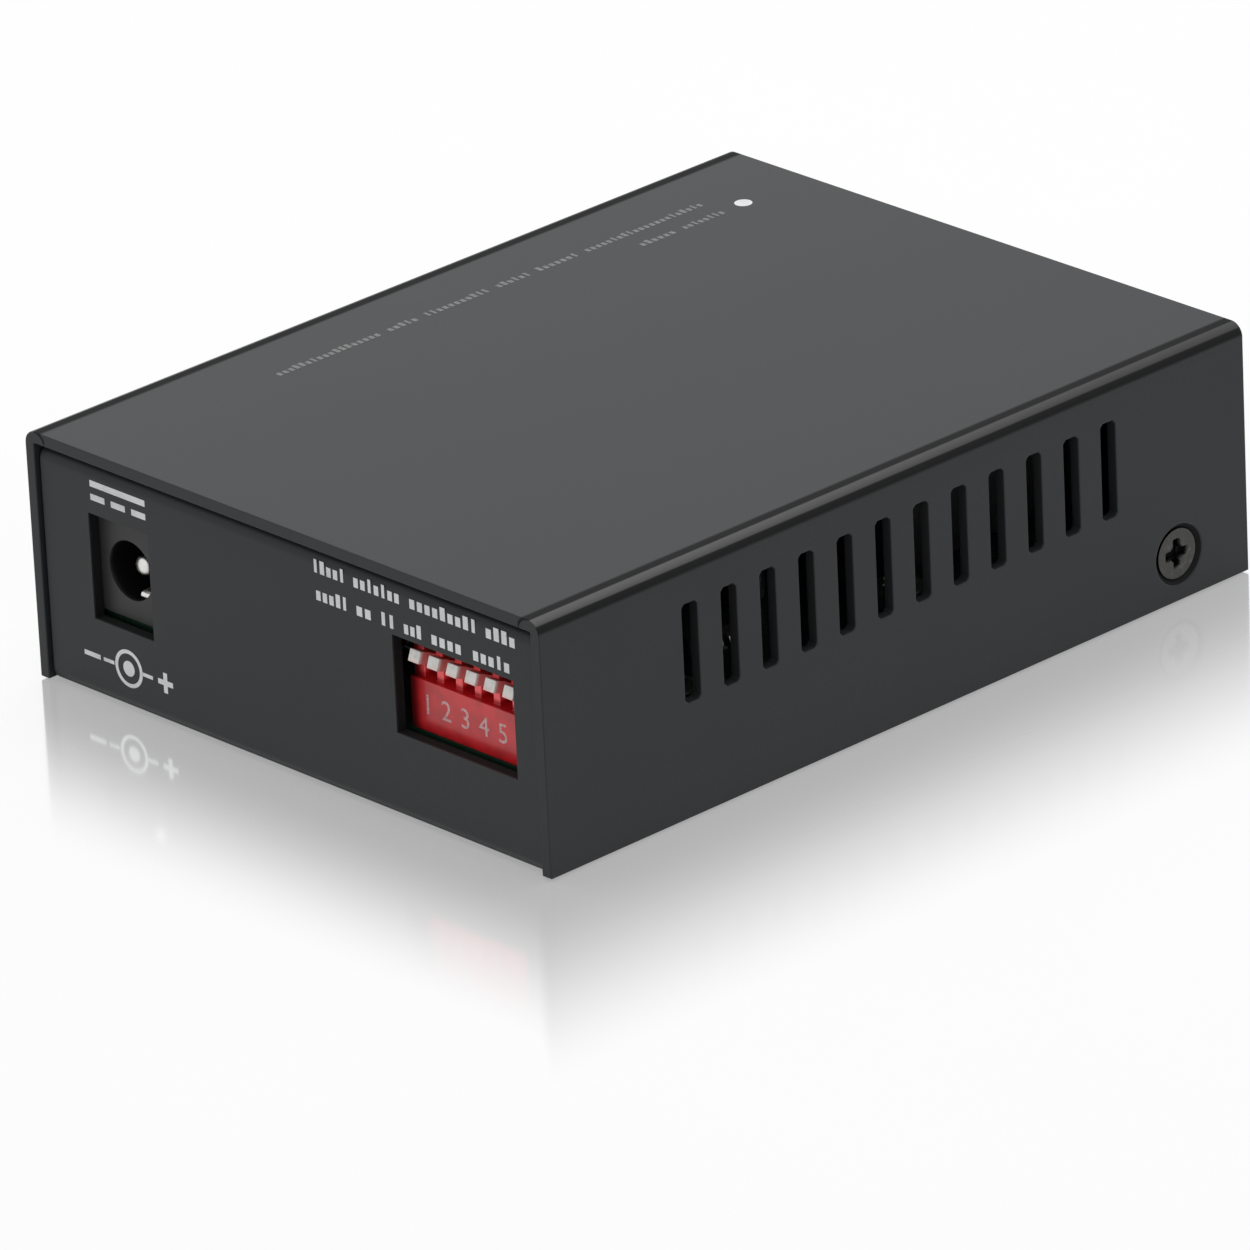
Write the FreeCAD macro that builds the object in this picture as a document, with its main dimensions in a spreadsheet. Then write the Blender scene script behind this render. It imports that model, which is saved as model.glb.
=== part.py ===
import FreeCAD, Part
import os
import Sketcher

# A fibre media converter: a folded steel case, 71 x 94 x 26 mm, around one circuit board.
# Frame: origin at the middle of the underside, +Z up, -Y the front with the network and
# fibre ports, +Y the rear with the power inlet and the six-way lever switch. Millimetres.

Vector = FreeCAD.Vector
ALONG_X = FreeCAD.Rotation(Vector(0, 1, 0), 90)
AGAINST_X = FreeCAD.Rotation(Vector(0, 1, 0), -90)
ALONG_Y = FreeCAD.Rotation(Vector(1, 0, 0), -90)
FACING_FRONT = FreeCAD.Rotation(Vector(1, 0, 0), 90)
SIDE_ON = FreeCAD.Rotation(Vector(1, 1, 1), 120)
UPRIGHT = FreeCAD.Rotation()

SIZES = {
    # Case and its sheet steel
    "case_width": 71.0,
    "case_length": 94.0,
    "case_height": 26.0,
    "sheet": 1.2,
    "bend": 1.4,
    "cover_gap": 0.35,
    "front_step": 0.5,
    "rear_step": 0.4,
    "cover_lift": 0.2,
    "flange_height": 9.0,
    "flange_relief": 2.4,
    "fold_width": 3.0,
    "lip_depth": 4.0,
    # Row of vents in each long side
    "vent_count": 12,
    "vent_first": 19.05,
    "vent_last": 19.29,
    "vent_width": 2.0,
    "vent_base": 11.75,
    "vent_roof": 4.25,
    "vent_corner": 0.35,
    # Countersunk cover screw on each long side
    "screw_place": 10.1,
    "screw_height": 5.0,
    "countersink": 3.2,
    "head_sink": 0.6,
    "thread": 1.5,
    "thread_room": 0.2,
    "screw_length": 6.0,
    "nut_radius": 2.2,
    "nut_thick": 2.0,
    "cross_length": 2.9,
    "cross_width": 0.75,
    "cross_depth": 1.1,
    "fit": 0.05,
    # Wall-hanging keyholes in the underside
    "keyhole_spacing": 50.0,
    "keyhole_entry": 3.6,
    "keyhole_neck": 1.9,
    "keyhole_round": 1.7,
    "keyhole_travel": 6.0,
    # Circuit board and what carries it
    "board_top": 9.0,
    "board_thick": 1.6,
    "board_side_gap": 0.55,
    "board_margin": 0.6,
    "post_edge": 3.2,
    "post_front_gap": 3.7,
    "post_rear_gap": 19.8,
    "post_radius": 2.9,
    "board_head": 2.7,
    "board_head_height": 2.0,
    "board_screw_length": 5.5,
    "pin_side": 0.6,
    "pin_reach": 1.5,
    "pin_pitch": 2.54,
    # Power inlet at the rear
    "inlet_edge": 12.3,
    "inlet_width": 9.0,
    "inlet_height": 10.2,
    "inlet_depth": 14.2,
    "inlet_front": 3.4,
    "inlet_shoulder": 4.4,
    "inlet_sink": 1.3,
    "inlet_bore": 3.05,
    "inlet_bore_depth": 9.5,
    "inlet_pin": 1.0,
    "inlet_tip": 0.5,
    "inlet_tail": 0.8,
    "inlet_pin_sink": 1.1,
    "inlet_window": 8.4,
    "inlet_window_drop": 0.6,
    "inlet_window_rise": 0.2,
    "leaf_side": 1.95,
    "leaf_width": 1.2,
    "leaf_drop": 2.25,
    "leaf_thick": 0.3,
    "leaf_sink": 0.4,
    "leg_margin": 1.0,
    "leg_side": 1.2,
    "leg_back": 9.9,
    # Six-way lever switch at the rear
    "lever_count": 6,
    "switch_edge": 11.9,
    "switch_width": 17.2,
    "switch_height": 9.8,
    "switch_depth": 10.0,
    "switch_sink": 1.9,
    "switch_ledge": 5.2,
    "switch_setback": 0.6,
    "switch_wall": 0.6,
    "switch_window_gap": 0.1,
    "switch_end_cover": 1.0,
    "chamber_room": 0.3,
    "lever_pitch": 2.54,
    "lever_width": 1.4,
    "lever_length": 7.0,
    "lever_tip": 0.6,
    "lever_arm": 0.5,
    "lever_step": 0.4,
    "lever_hub": 1.2,
    "lever_hub_flat": 0.5,
    "lever_bore_flat": 0.414,
    "lever_play": 0.1,
    "lever_rest": 20.0,
    "lever_pivot_back": 5.2,
    "lever_pivot_up": 5.8,
    "axle_radius": 0.4,
    "switch_pin_rows": 7.62,
    # Network socket at the front
    "network_width": 16.2,
    "network_depth": 21.3,
    "network_headroom": 2.4,
    "shield": 0.3,
    "port_gap": 0.15,
    "plug_width": 11.9,
    "plug_height": 6.8,
    "plug_roof": 2.0,
    "plug_depth": 14.0,
    "latch_width": 6.4,
    "key_width": 3.4,
    "wire_pitch": 1.02,
    "wire_width": 0.45,
    "wire_thick": 0.3,
    "wire_start": 3.0,
    "wire_flat": 2.0,
    "wire_dip": 2.2,
    "network_pin_back": 4.0,
    # Duplex fibre port at the front
    "fibre_width": 25.4,
    "fibre_height": 12.5,
    "fibre_front_depth": 15.0,
    "fibre_pitch": 12.7,
    "fibre_mouth_width": 7.4,
    "fibre_mouth_height": 9.0,
    "fibre_mouth_depth": 12.5,
    "fibre_key_width": 2.4,
    "fibre_key_height": 0.9,
    "ferrule_outer": 2.1,
    "ferrule_bore": 1.25,
    "ferrule_length": 7.5,
    "hook_gap": 0.45,
    "hook_thick": 0.6,
    "hook_nose": 0.3,
    "hook_slope": 1.2,
    "hook_short": 0.8,
    "hook_height": 3.0,
    "module_depth": 23.0,
    "module_height": 9.8,
    "module_recess": 0.8,
    "module_bevel": 0.8,
    "module_pin_back": 2.0,
    # Status lights at the front
    "light_width": 3.0,
    "light_height": 2.0,
    "light_fit": 0.05,
    "light_wall": 1.0,
    "light_block_width": 9.0,
    "light_block_depth": 5.0,
    "light_block_rise": 0.2,
    # Chips and other parts on the board
    "chip_x": 2.0,
    "chip_y": 6.0,
    "chip_side": 14.0,
    "chip_height": 1.4,
    "chip_lift": 0.15,
    "chip_mark": 0.6,
    "chip_mark_inset": 2.0,
    "chip_mark_depth": 0.1,
    "chip_lead_count": 12,
    "chip_lead_pitch": 1.0,
    "chip_lead_length": 1.2,
    "chip_lead_width": 0.4,
    "chip_lead_thick": 0.35,
    "transformer_width": 14.0,
    "transformer_depth": 10.0,
    "transformer_height": 5.6,
    "transformer_gap": 3.0,
    "transformer_notch": 2.0,
    "transformer_notch_size": 0.8,
    "capacitor_radius": 4.0,
    "capacitor_height": 11.5,
    "capacitor_side_gap": 6.9,
    "capacitor_rear_gap": 2.8,
    "capacitor_space": 1.5,
    "coil_radius": 5.0,
    "coil_waist": 3.8,
    "coil_flange": 1.0,
    "coil_height": 4.6,
    "coil_side": 4.4,
    "coil_gap": 4.55,
    "crystal_x": -14.0,
    "crystal_y": 4.0,
    "crystal_length": 10.6,
    "crystal_depth": 4.6,
    "crystal_round": 2.0,
    "crystal_height": 3.4,
    "memory_edge": 11.2,
    "memory_y": 14.0,
    "memory_width": 5.0,
    "memory_depth": 6.0,
    "memory_height": 1.6,
    "regulator_width": 6.5,
    "regulator_depth": 6.0,
    "regulator_height": 2.3,
    "regulator_gap": 3.0,
    "pack_side": 5.1,
    "pack_gap": 5.1,
    "pack_width": 14.0,
    "pack_depth": 2.6,
    "pack_height": 5.0,
    "small_width": 1.2,
    "small_length": 2.0,
    "small_height": 0.7,
    "small_space": 2.2,
    "near_row_x": -12.0,
    "near_row_y": 17.0,
    "middle_row_x": -10.0,
    "middle_row_y": 21.5,
    "far_row_x": -7.0,
    "far_row_back": 11.8,
    "side_row_gap": 6.0,
    "side_row_start": 7.0,
    "side_row_space": 2.4,
}
# Shares of the free width that the front panel has left of, between and right of its ports
FRONT_SHARES = {"left": 0.46, "between": 0.27, "beside": 0.19}


class Size:
    """A length that holds both its number and the spreadsheet expression that gives it."""

    def __init__(self, number, text):
        self.number = float(number)
        self.text = text

    def joined(self, sign, other, number, turned=False):
        pair = (text_of(other), self.text) if turned else (self.text, text_of(other))
        return Size(number, "(%s %s %s)" % (pair[0], sign, pair[1]))

    def __add__(self, other):
        return self.joined("+", other, self.number + number_of(other))

    def __radd__(self, other):
        return self.joined("+", other, number_of(other) + self.number, True)

    def __sub__(self, other):
        return self.joined("-", other, self.number - number_of(other))

    def __rsub__(self, other):
        return self.joined("-", other, number_of(other) - self.number, True)

    def __mul__(self, other):
        return self.joined("*", other, self.number * number_of(other))

    def __rmul__(self, other):
        return self.joined("*", other, number_of(other) * self.number, True)

    def __truediv__(self, other):
        return self.joined("/", other, self.number / number_of(other))

    def __neg__(self):
        return Size(-self.number, "(0 - %s)" % self.text)


def number_of(value):
    return value.number if isinstance(value, Size) else float(value)


def text_of(value):
    return value.text if isinstance(value, Size) else repr(value)


def point(x, y, z):
    return Vector(number_of(x), number_of(y), number_of(z))


class Sheet:
    """The driving dimensions: one spreadsheet row each, read as sheet.name."""

    def __init__(self, doc, sizes):
        page = doc.addObject("Spreadsheet::Sheet", "Sizes")
        for row, (name, number) in enumerate(sizes.items(), 1):
            page.set("A%d" % row, name)
            page.set("B%d" % row, str(number))
            page.setAlias("B%d" % row, name)
            setattr(self, name, Size(number, "Sizes." + name))
        doc.recompute()


def bind(item, **values):
    """Set properties of an object and tie each one that is a Size to its expression."""
    for name, value in values.items():
        if isinstance(value, Size):
            item.setExpression(name, value.text)
        else:
            setattr(item, name, value)


def place(item, at=(0, 0, 0), turn=UPRIGHT):
    """Put an object at a point, each coordinate tied to its expression."""
    item.Placement = FreeCAD.Placement(point(*at), turn)
    for axis, value in zip("xyz", at):
        if isinstance(value, Size):
            item.setExpression("Placement.Base." + axis, value.text)


# Sketches


def new_sketch(body, name, role, offset=0):
    """A sketch on one of the body's origin planes, moved along the plane's normal."""
    sketch = body.newObject("Sketcher::SketchObject", name)
    plane = [item for item in body.Origin.OriginFeatures if item.Role == role][0]
    sketch.AttachmentSupport = [(plane, "")]
    sketch.MapMode = "FlatFace"
    if isinstance(offset, Size):
        sketch.setExpression("AttachmentOffset.Base.z", offset.text)
    return sketch


def pin_point(sketch, geometry, end, x, y):
    """Fix one end of a sketch element at x, y from the sketch's origin."""
    for kind, value in (("DistanceX", x), ("DistanceY", y)):
        number = number_of(value)
        index = sketch.addConstraint(Sketcher.Constraint(kind, -1, 1, geometry, end, number))
        if isinstance(value, Size):
            sketch.setExpression("Constraints[%d]" % index, value.text)


def draw_outline(sketch, corners):
    """A closed outline. Each corner is (x, y) or, between square edges, (x, y, radius)."""
    count = len(corners)
    numbers = [Vector(number_of(c[0]), number_of(c[1]), 0) for c in corners]
    arriving, leaving = [], []
    for index, corner in enumerate(corners):
        if len(corner) == 2:
            arriving.append(corner)
            leaving.append(corner)
            continue
        for other, kept in ((index - 1, arriving), ((index + 1) % count, leaving)):
            step = numbers[other] - numbers[index]
            along_x = 0 if abs(step.x) < abs(step.y) else (1 if step.x > 0 else -1)
            along_y = 0 if along_x else (1 if step.y > 0 else -1)
            kept.append((corner[0] + corner[2] * along_x, corner[1] + corner[2] * along_y))
    lines = []
    for index in range(count):
        start = point(*leaving[index], 0)
        end = point(*arriving[(index + 1) % count], 0)
        lines.append(sketch.addGeometry(Part.LineSegment(start, end), False))
        pin_point(sketch, lines[-1], 1, *leaving[index])
    for index, corner in enumerate(corners):
        before = lines[index - 1]
        after = lines[index]
        if len(corner) == 2:
            sketch.addConstraint(Sketcher.Constraint("Coincident", before, 2, after, 1))
            continue
        pin_point(sketch, before, 2, *arriving[index])
        start = point(*arriving[index], 0)
        end = point(*leaving[index], 0)
        centre = start + end - numbers[index]
        middle = centre + (numbers[index] - centre).normalize() * number_of(corner[2])
        arc = sketch.addGeometry(Part.Arc(start, middle, end), False)
        turned = (start - centre).cross(end - centre).z < 0
        first, last = (2, 1) if turned else (1, 2)
        sketch.addConstraint(Sketcher.Constraint("Coincident", before, 2, arc, first))
        sketch.addConstraint(Sketcher.Constraint("Coincident", after, 1, arc, last))
        index_radius = sketch.addConstraint(
            Sketcher.Constraint("Radius", arc, number_of(corner[2]))
        )
        sketch.setExpression("Constraints[%d]" % index_radius, corner[2].text)


def draw_box(sketch, x_low, y_low, x_high, y_high, radius=None):
    """A rectangle between two corners, with round corners where a radius is given."""
    corners = [(x_low, y_low), (x_high, y_low), (x_high, y_high), (x_low, y_high)]
    if radius is not None:
        corners = [corner + (radius,) for corner in corners]
    draw_outline(sketch, corners)


def draw_circle(sketch, x, y, radius):
    circle = Part.Circle(point(x, y, 0), Vector(0, 0, 1), number_of(radius))
    geometry = sketch.addGeometry(circle, False)
    pin_point(sketch, geometry, 3, x, y)
    index = sketch.addConstraint(Sketcher.Constraint("Radius", geometry, number_of(radius)))
    if isinstance(radius, Size):
        sketch.setExpression("Constraints[%d]" % index, radius.text)


# Features of a part-design body


def new_body(doc, label):
    body = doc.addObject("PartDesign::Body", "Body_" + label)
    body.Label = label
    return body


def pad(body, sketch, length, both_ways=False, reverse=False):
    feature = body.newObject("PartDesign::Pad", "Pad_" + sketch.Name)
    feature.Profile = sketch
    feature.SideType = "Symmetric" if both_ways else "One side"
    feature.Reversed = reverse
    bind(feature, Length=length)
    body.Document.recompute()
    return feature


def pocket(body, sketch, length=None, both_ways=False, reverse=False):
    """Cut a sketch's outline out of the body and make sure that something was cut."""
    before = body.Tip.Shape.Volume
    feature = body.newObject("PartDesign::Pocket", "Pocket_" + sketch.Name)
    feature.Profile = sketch
    feature.SideType = "Symmetric" if both_ways else "One side"
    feature.Reversed = reverse
    if length is None:
        feature.Type = "ThroughAll"
    else:
        bind(feature, Length=length)
    body.Document.recompute()
    if feature.Shape.Volume >= before:
        raise RuntimeError("%s cuts nothing" % feature.Name)
    return feature


def repeat(body, feature, sketch, axis, spacing, count, reverse=False):
    """Repeat a feature in a row along the sketch's axis."""
    pattern = body.newObject("PartDesign::LinearPattern", "Row_" + feature.Name)
    pattern.Originals = [feature]
    pattern.Direction = (sketch, [axis])
    pattern.Mode = "Spacing"
    pattern.Reversed = reverse
    bind(pattern, Offset=spacing, Occurrences=count)
    body.Tip = pattern
    body.Document.recompute()
    return pattern


# Primitives and booleans


def block(doc, name, low, high):
    """A box between two corners."""
    item = doc.addObject("Part::Box", name)
    bind(item, Length=high[0] - low[0], Width=high[1] - low[1], Height=high[2] - low[2])
    place(item, low)
    return item


def standing_block(doc, name, middle, base, size):
    """A box standing on a height, centred on a point, with its width, depth and height."""
    (x, y), (width, depth, height) = middle, size
    return block(doc, name, (x - width / 2, y - depth / 2, base),
                 (x + width / 2, y + depth / 2, base + height))


def rod(doc, name, radius, length, at, turn=UPRIGHT):
    item = doc.addObject("Part::Cylinder", name)
    bind(item, Radius=radius, Height=length)
    place(item, at, turn)
    return item


def cone(doc, name, radius_low, radius_high, length, at, turn=UPRIGHT):
    item = doc.addObject("Part::Cone", name)
    bind(item, Radius1=radius_low, Radius2=radius_high, Height=length)
    place(item, at, turn)
    return item


def hexagon(doc, name, radius, length, at, turn=UPRIGHT):
    item = doc.addObject("Part::Prism", name)
    item.Polygon = 6
    bind(item, Circumradius=radius, Height=length)
    place(item, at, turn)
    return item


def plate(doc, name, outline, thickness, at, turn=UPRIGHT):
    """A flat piece: an outline drawn from a point, carried a thickness along its normal."""
    sketch = doc.addObject("Sketcher::SketchObject", name + "Outline")
    place(sketch, at, turn)
    draw_outline(sketch, outline)
    item = doc.addObject("Part::Extrusion", name)
    item.Base = sketch
    item.DirMode = "Normal"
    item.Solid = True
    bind(item, LengthFwd=thickness)
    return item


def fuse(doc, name, items):
    item = doc.addObject("Part::MultiFuse", name)
    item.Shapes = items
    return item


def cut(doc, name, base, tools):
    item = doc.addObject("Part::Cut", name)
    item.Base = base
    item.Tool = tools[0] if len(tools) == 1 else fuse(doc, name + "_tools", tools)
    return item


def group(doc, label, items):
    """Several like solids kept in one node."""
    item = doc.addObject("Part::Compound", "Group_" + label)
    item.Links = items
    item.Label = label
    return item


def labelled(item, label):
    item.Label = label
    return item


# Places that several pieces share


def lay_out(s):
    """Work the shared places out from the driving dimensions."""
    s.zero = s.sheet * 0
    s.half_width = s.case_width / 2
    s.rear_end = s.case_length / 2
    s.front_face = -s.rear_end
    s.rear_face = s.rear_end - s.rear_step
    s.inner_front = s.front_face + s.sheet
    s.inner_rear = s.rear_face - s.sheet
    s.cover_inside = s.half_width - s.sheet
    s.cover_ceiling = s.case_height - s.sheet
    s.panel_half = s.cover_inside - s.cover_gap
    s.panel_top = s.cover_ceiling - s.cover_gap
    s.flange_inside = s.panel_half - s.sheet
    s.bend_inner = s.bend - s.sheet
    s.vent_pitch = (s.case_length - s.vent_first - s.vent_last) / (s.vent_count - 1)
    s.vent_top = s.case_height - s.vent_roof
    s.screw_y = s.front_face + s.screw_place
    lay_out_board(s)
    lay_out_rear(s)
    lay_out_front(s)
    s.board_posts = [(x, y) for x in (-s.post_x, s.post_x) for y in (s.post_front, s.post_rear)]


def lay_out_board(s):
    s.board_half = s.flange_inside - s.board_side_gap
    s.board_base = s.board_top - s.board_thick
    s.board_front = s.inner_front + s.board_margin
    s.board_rear = s.inner_rear - s.board_margin
    s.post_x = s.board_half - s.post_edge
    s.post_rear = s.board_rear - s.post_rear_gap
    s.chip_low = s.board_top + s.chip_lift


def lay_out_rear(s):
    s.inlet_x = s.half_width - s.inlet_edge
    s.inlet_face = s.rear_face - s.inlet_sink
    s.inlet_back = s.inlet_face - s.inlet_depth
    s.inlet_axis_z = s.board_top + s.inlet_height / 2
    s.switch_x = s.switch_edge - s.half_width
    s.switch_front = s.rear_face - s.switch_sink
    s.switch_back = s.switch_front - s.switch_depth
    s.switch_low_x = s.switch_x - s.switch_width / 2
    s.switch_top = s.board_top + s.switch_height
    s.pivot_y = s.switch_front - s.lever_pivot_back
    s.pivot_z = s.board_top + s.lever_pivot_up
    s.first_lever_x = s.switch_x - s.lever_pitch * (s.lever_count - 1) / 2
    s.coil_x = s.inlet_x - s.coil_side
    s.coil_y = s.inlet_back - s.coil_gap - s.coil_radius
    s.regulator_y = s.coil_y - s.coil_radius - s.regulator_gap - s.regulator_depth / 2


def lay_out_front(s):
    """Share the front panel's free width out between the fibre port, socket and lights."""
    free = s.flange_inside * 2 - s.fibre_width - s.network_width - s.light_block_width
    fibre_low = free * FRONT_SHARES["left"] - s.flange_inside
    network_low = fibre_low + s.fibre_width + free * FRONT_SHARES["between"]
    light_low = network_low + s.network_width + free * FRONT_SHARES["beside"]
    s.fibre_x = fibre_low + s.fibre_width / 2
    s.network_x = network_low + s.network_width / 2
    s.light_x = light_low + s.light_block_width / 2
    s.network_height = s.cover_ceiling - s.network_headroom - s.board_top
    s.light_block_height = s.network_height + s.light_block_rise
    s.fibre_back = s.front_face + s.fibre_front_depth
    s.module_back = s.fibre_back + s.module_depth
    s.fibre_middle = s.board_top + s.fibre_height / 2
    s.post_front = s.module_back + s.post_front_gap


# Folded steel case


def make_top_cover(doc, s):
    """Top and two long sides, folded from one sheet, with a row of vents in each side."""
    body = new_body(doc, "top_cover")
    section = new_sketch(body, "CoverSection", "XZ_Plane", -s.rear_end)
    outer, inner = s.half_width, s.cover_inside
    draw_outline(section, [
        (-outer, s.cover_lift),
        (-outer, s.case_height, s.bend),
        (outer, s.case_height, s.bend),
        (outer, s.cover_lift),
        (inner, s.cover_lift),
        (inner, s.cover_ceiling, s.bend_inner),
        (-inner, s.cover_ceiling, s.bend_inner),
        (-inner, s.cover_lift),
    ])
    pad(body, section, s.case_length - s.front_step)
    vent = new_sketch(body, "Vent", "YZ_Plane")
    middle = s.rear_end - s.vent_first
    left, right = middle - s.vent_width / 2, middle + s.vent_width / 2
    corner = s.vent_corner
    draw_outline(vent, [
        (left + corner, s.vent_base),
        (right - corner, s.vent_base),
        (right, s.vent_base + corner),
        (right, s.vent_top - corner),
        (right - corner, s.vent_top),
        (left + corner, s.vent_top),
        (left, s.vent_top - corner),
        (left, s.vent_base + corner),
    ])
    slot = pocket(body, vent, both_ways=True)
    repeat(body, slot, vent, "H_Axis", s.vent_pitch, s.vent_count, reverse=True)
    for side, turn in ((-1, ALONG_X), (1, AGAINST_X)):
        sink = body.newObject("PartDesign::SubtractiveCone", "Countersink")
        bind(sink, Radius1=s.countersink, Radius2=s.countersink - s.sheet, Height=s.sheet)
        place(sink, (s.half_width * side, s.screw_y, s.screw_height), turn)
    return body


def make_base_tray(doc, s):
    """Underside, front and rear panels with their lips, and a low flange on each side."""
    body = new_body(doc, "base_tray")
    front, rear, top = s.front_face, s.rear_face, s.panel_top
    section = new_sketch(body, "TraySection", "YZ_Plane")
    draw_outline(section, [
        (front, s.zero, s.bend),
        (rear, s.zero, s.bend),
        (rear, top, s.bend),
        (rear - s.lip_depth, top),
        (rear - s.lip_depth, top - s.sheet),
        (s.inner_rear, top - s.sheet, s.bend_inner),
        (s.inner_rear, s.sheet, s.bend_inner),
        (s.inner_front, s.sheet, s.bend_inner),
        (s.inner_front, top - s.sheet, s.bend_inner),
        (front + s.lip_depth, top - s.sheet),
        (front + s.lip_depth, top),
        (front, top, s.bend),
    ])
    pad(body, section, s.panel_half * 2, both_ways=True)
    fold_flanges(body, s)
    cut_rear_windows(body, s)
    cut_front_openings(body, s)
    cut_tray_holes(body, s)
    return body


def fold_flanges(body, s):
    """A low flange on each long side, with a relief notch at each end of its fold."""
    strips = new_sketch(body, "FlangeStrips", "XY_Plane")
    for low, high in ((-s.panel_half, s.fold_width - s.panel_half),
                      (s.panel_half - s.fold_width, s.panel_half)):
        draw_box(strips, low, s.front_face + s.bend, high, s.rear_face - s.bend)
    pocket(body, strips, s.sheet * 2, reverse=True)
    section = new_sketch(body, "FlangeSection", "XZ_Plane", s.flange_relief - s.rear_face)
    for side in (-1, 1):
        outer, inner = s.panel_half * side, s.flange_inside * side
        fold = (s.panel_half - s.fold_width) * side
        draw_outline(section, [
            (fold, s.zero),
            (outer, s.zero, s.bend),
            (outer, s.flange_height),
            (inner, s.flange_height),
            (inner, s.sheet, s.bend_inner),
            (fold, s.sheet),
        ])
    pad(body, section, s.rear_face - s.front_face - s.flange_relief * 2)


def cut_rear_windows(body, s):
    """The two windows in the rear panel, for the power inlet and the lever switch."""
    windows = new_sketch(body, "RearWindows", "XZ_Plane", -s.rear_end)
    draw_box(windows, s.inlet_x - s.inlet_window / 2, s.board_top - s.inlet_window_drop,
             s.inlet_x + s.inlet_window / 2, s.board_top + s.inlet_height + s.inlet_window_rise)
    gap = s.switch_window_gap
    draw_box(windows, s.switch_low_x + s.switch_end_cover, s.board_top - gap,
             s.switch_low_x + s.switch_width + gap, s.switch_top + gap)
    pocket(body, windows, s.sheet * 2, reverse=True)


def cut_front_openings(body, s):
    """Network socket, duplex fibre port and status light openings in the front panel."""
    openings = [
        (s.network_x, s.board_top + s.network_height / 2, s.network_width, s.network_height),
        (s.fibre_x, s.fibre_middle, s.fibre_width, s.fibre_height),
    ]
    openings += [(x, z, s.light_width, s.light_height) for x, z in light_places(s)]
    sketch = new_sketch(body, "FrontOpenings", "XZ_Plane", s.rear_end)
    for x, z, width, height in openings:
        half_width = width / 2 + s.port_gap
        half_height = height / 2 + s.port_gap
        draw_box(sketch, x - half_width, z - half_height, x + half_width, z + half_height)
    pocket(body, sketch, s.sheet * 2)


def cut_tray_holes(body, s):
    """Hanging keyholes in the underside and the clearance holes of the cover screws."""
    for side in (-1, 1):
        entry_y = s.keyhole_spacing / 2 * side
        entry = new_sketch(body, "KeyholeEntry", "XY_Plane")
        draw_circle(entry, s.zero, entry_y, s.keyhole_entry)
        pocket(body, entry, s.sheet * 2, reverse=True)
        end_y = entry_y + s.keyhole_entry + s.keyhole_travel
        neck = new_sketch(body, "KeyholeNeck", "XY_Plane")
        draw_outline(neck, [
            (-s.keyhole_neck, entry_y),
            (s.keyhole_neck, entry_y),
            (s.keyhole_neck, end_y, s.keyhole_round),
            (-s.keyhole_neck, end_y, s.keyhole_round),
        ])
        pocket(body, neck, s.sheet * 2, reverse=True)
    hole = body.newObject("PartDesign::SubtractiveCylinder", "ScrewHoles")
    bind(hole, Radius=s.thread + s.thread_room, Height=s.case_width)
    place(hole, (-s.half_width, s.screw_y, s.screw_height), ALONG_X)
    body.Document.recompute()


def make_cover_screws(doc, s):
    """A countersunk cross-head screw in each long side, near the front."""
    screws = []
    radius = s.countersink - s.head_sink - s.fit
    taper = radius - s.thread
    for side, turn in ((-1, ALONG_X), (1, AGAINST_X)):
        start = (s.half_width - s.head_sink) * side
        head = cone(doc, "ScrewHead", radius, s.thread, taper,
                    (start, s.screw_y, s.screw_height), turn)
        shank = rod(doc, "ScrewShank", s.thread, s.screw_length - taper,
                    (start - taper * side, s.screw_y, s.screw_height), turn)
        low_x = start if side < 0 else start - s.cross_depth
        arms = []
        for half_y, half_z in (
            (s.cross_length / 2, s.cross_width / 2),
            (s.cross_width / 2, s.cross_length / 2),
        ):
            low = (low_x, s.screw_y - half_y, s.screw_height - half_z)
            high = (low_x + s.cross_depth, s.screw_y + half_y, s.screw_height + half_z)
            arms.append(block(doc, "CrossArm", low, high))
        screws.append(cut(doc, "Screw", fuse(doc, "ScrewBlank", [head, shank]), arms))
    return group(doc, "cover_screws", screws)


def make_cover_nuts(doc, s):
    """Hexagonal nuts on the inner face of the tray's flanges, which hold the cover screws."""
    nuts = []
    for side, turn in ((-1, ALONG_X), (1, AGAINST_X)):
        at = (s.flange_inside * side, s.screw_y, s.screw_height)
        blank = hexagon(doc, "NutBlank", s.nut_radius, s.nut_thick, at, turn)
        bore = rod(doc, "NutBore", s.thread, s.nut_thick, at, turn)
        nuts.append(cut(doc, "Nut", blank, [bore]))
    return group(doc, "cover_nuts", nuts)


# Circuit board and what carries it


def make_board_standoffs(doc, s):
    """Hexagonal posts welded to the floor of the tray and tapped from above."""
    posts = []
    depth = s.board_screw_length
    for x, y in s.board_posts:
        column = hexagon(doc, "PostColumn", s.post_radius, s.board_base - s.sheet,
                         (x, y, s.sheet))
        bore = rod(doc, "PostBore", s.thread, depth, (x, y, s.board_base - depth))
        posts.append(cut(doc, "Post", column, [bore]))
    return group(doc, "board_standoffs", posts)


def make_board_screws(doc, s):
    """Pan-head screws that hold the board down on its four posts."""
    screws = []
    for x, y in s.board_posts:
        head = rod(doc, "BoardHead", s.board_head, s.board_head_height, (x, y, s.board_top))
        shank = rod(doc, "BoardShank", s.thread, s.board_screw_length,
                    (x, y, s.board_top - s.board_screw_length))
        screws.append(fuse(doc, "BoardScrew", [head, shank]))
    return group(doc, "board_screws", screws)


def light_places(s):
    """Middle of each status light: two columns of three, spread over their holder."""
    return [
        (s.light_x + s.light_block_width * (column - 0.5) / 2,
         s.board_top + s.light_block_height * (row * 2 + 1) / 6)
        for column in range(2)
        for row in range(3)
    ]


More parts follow.
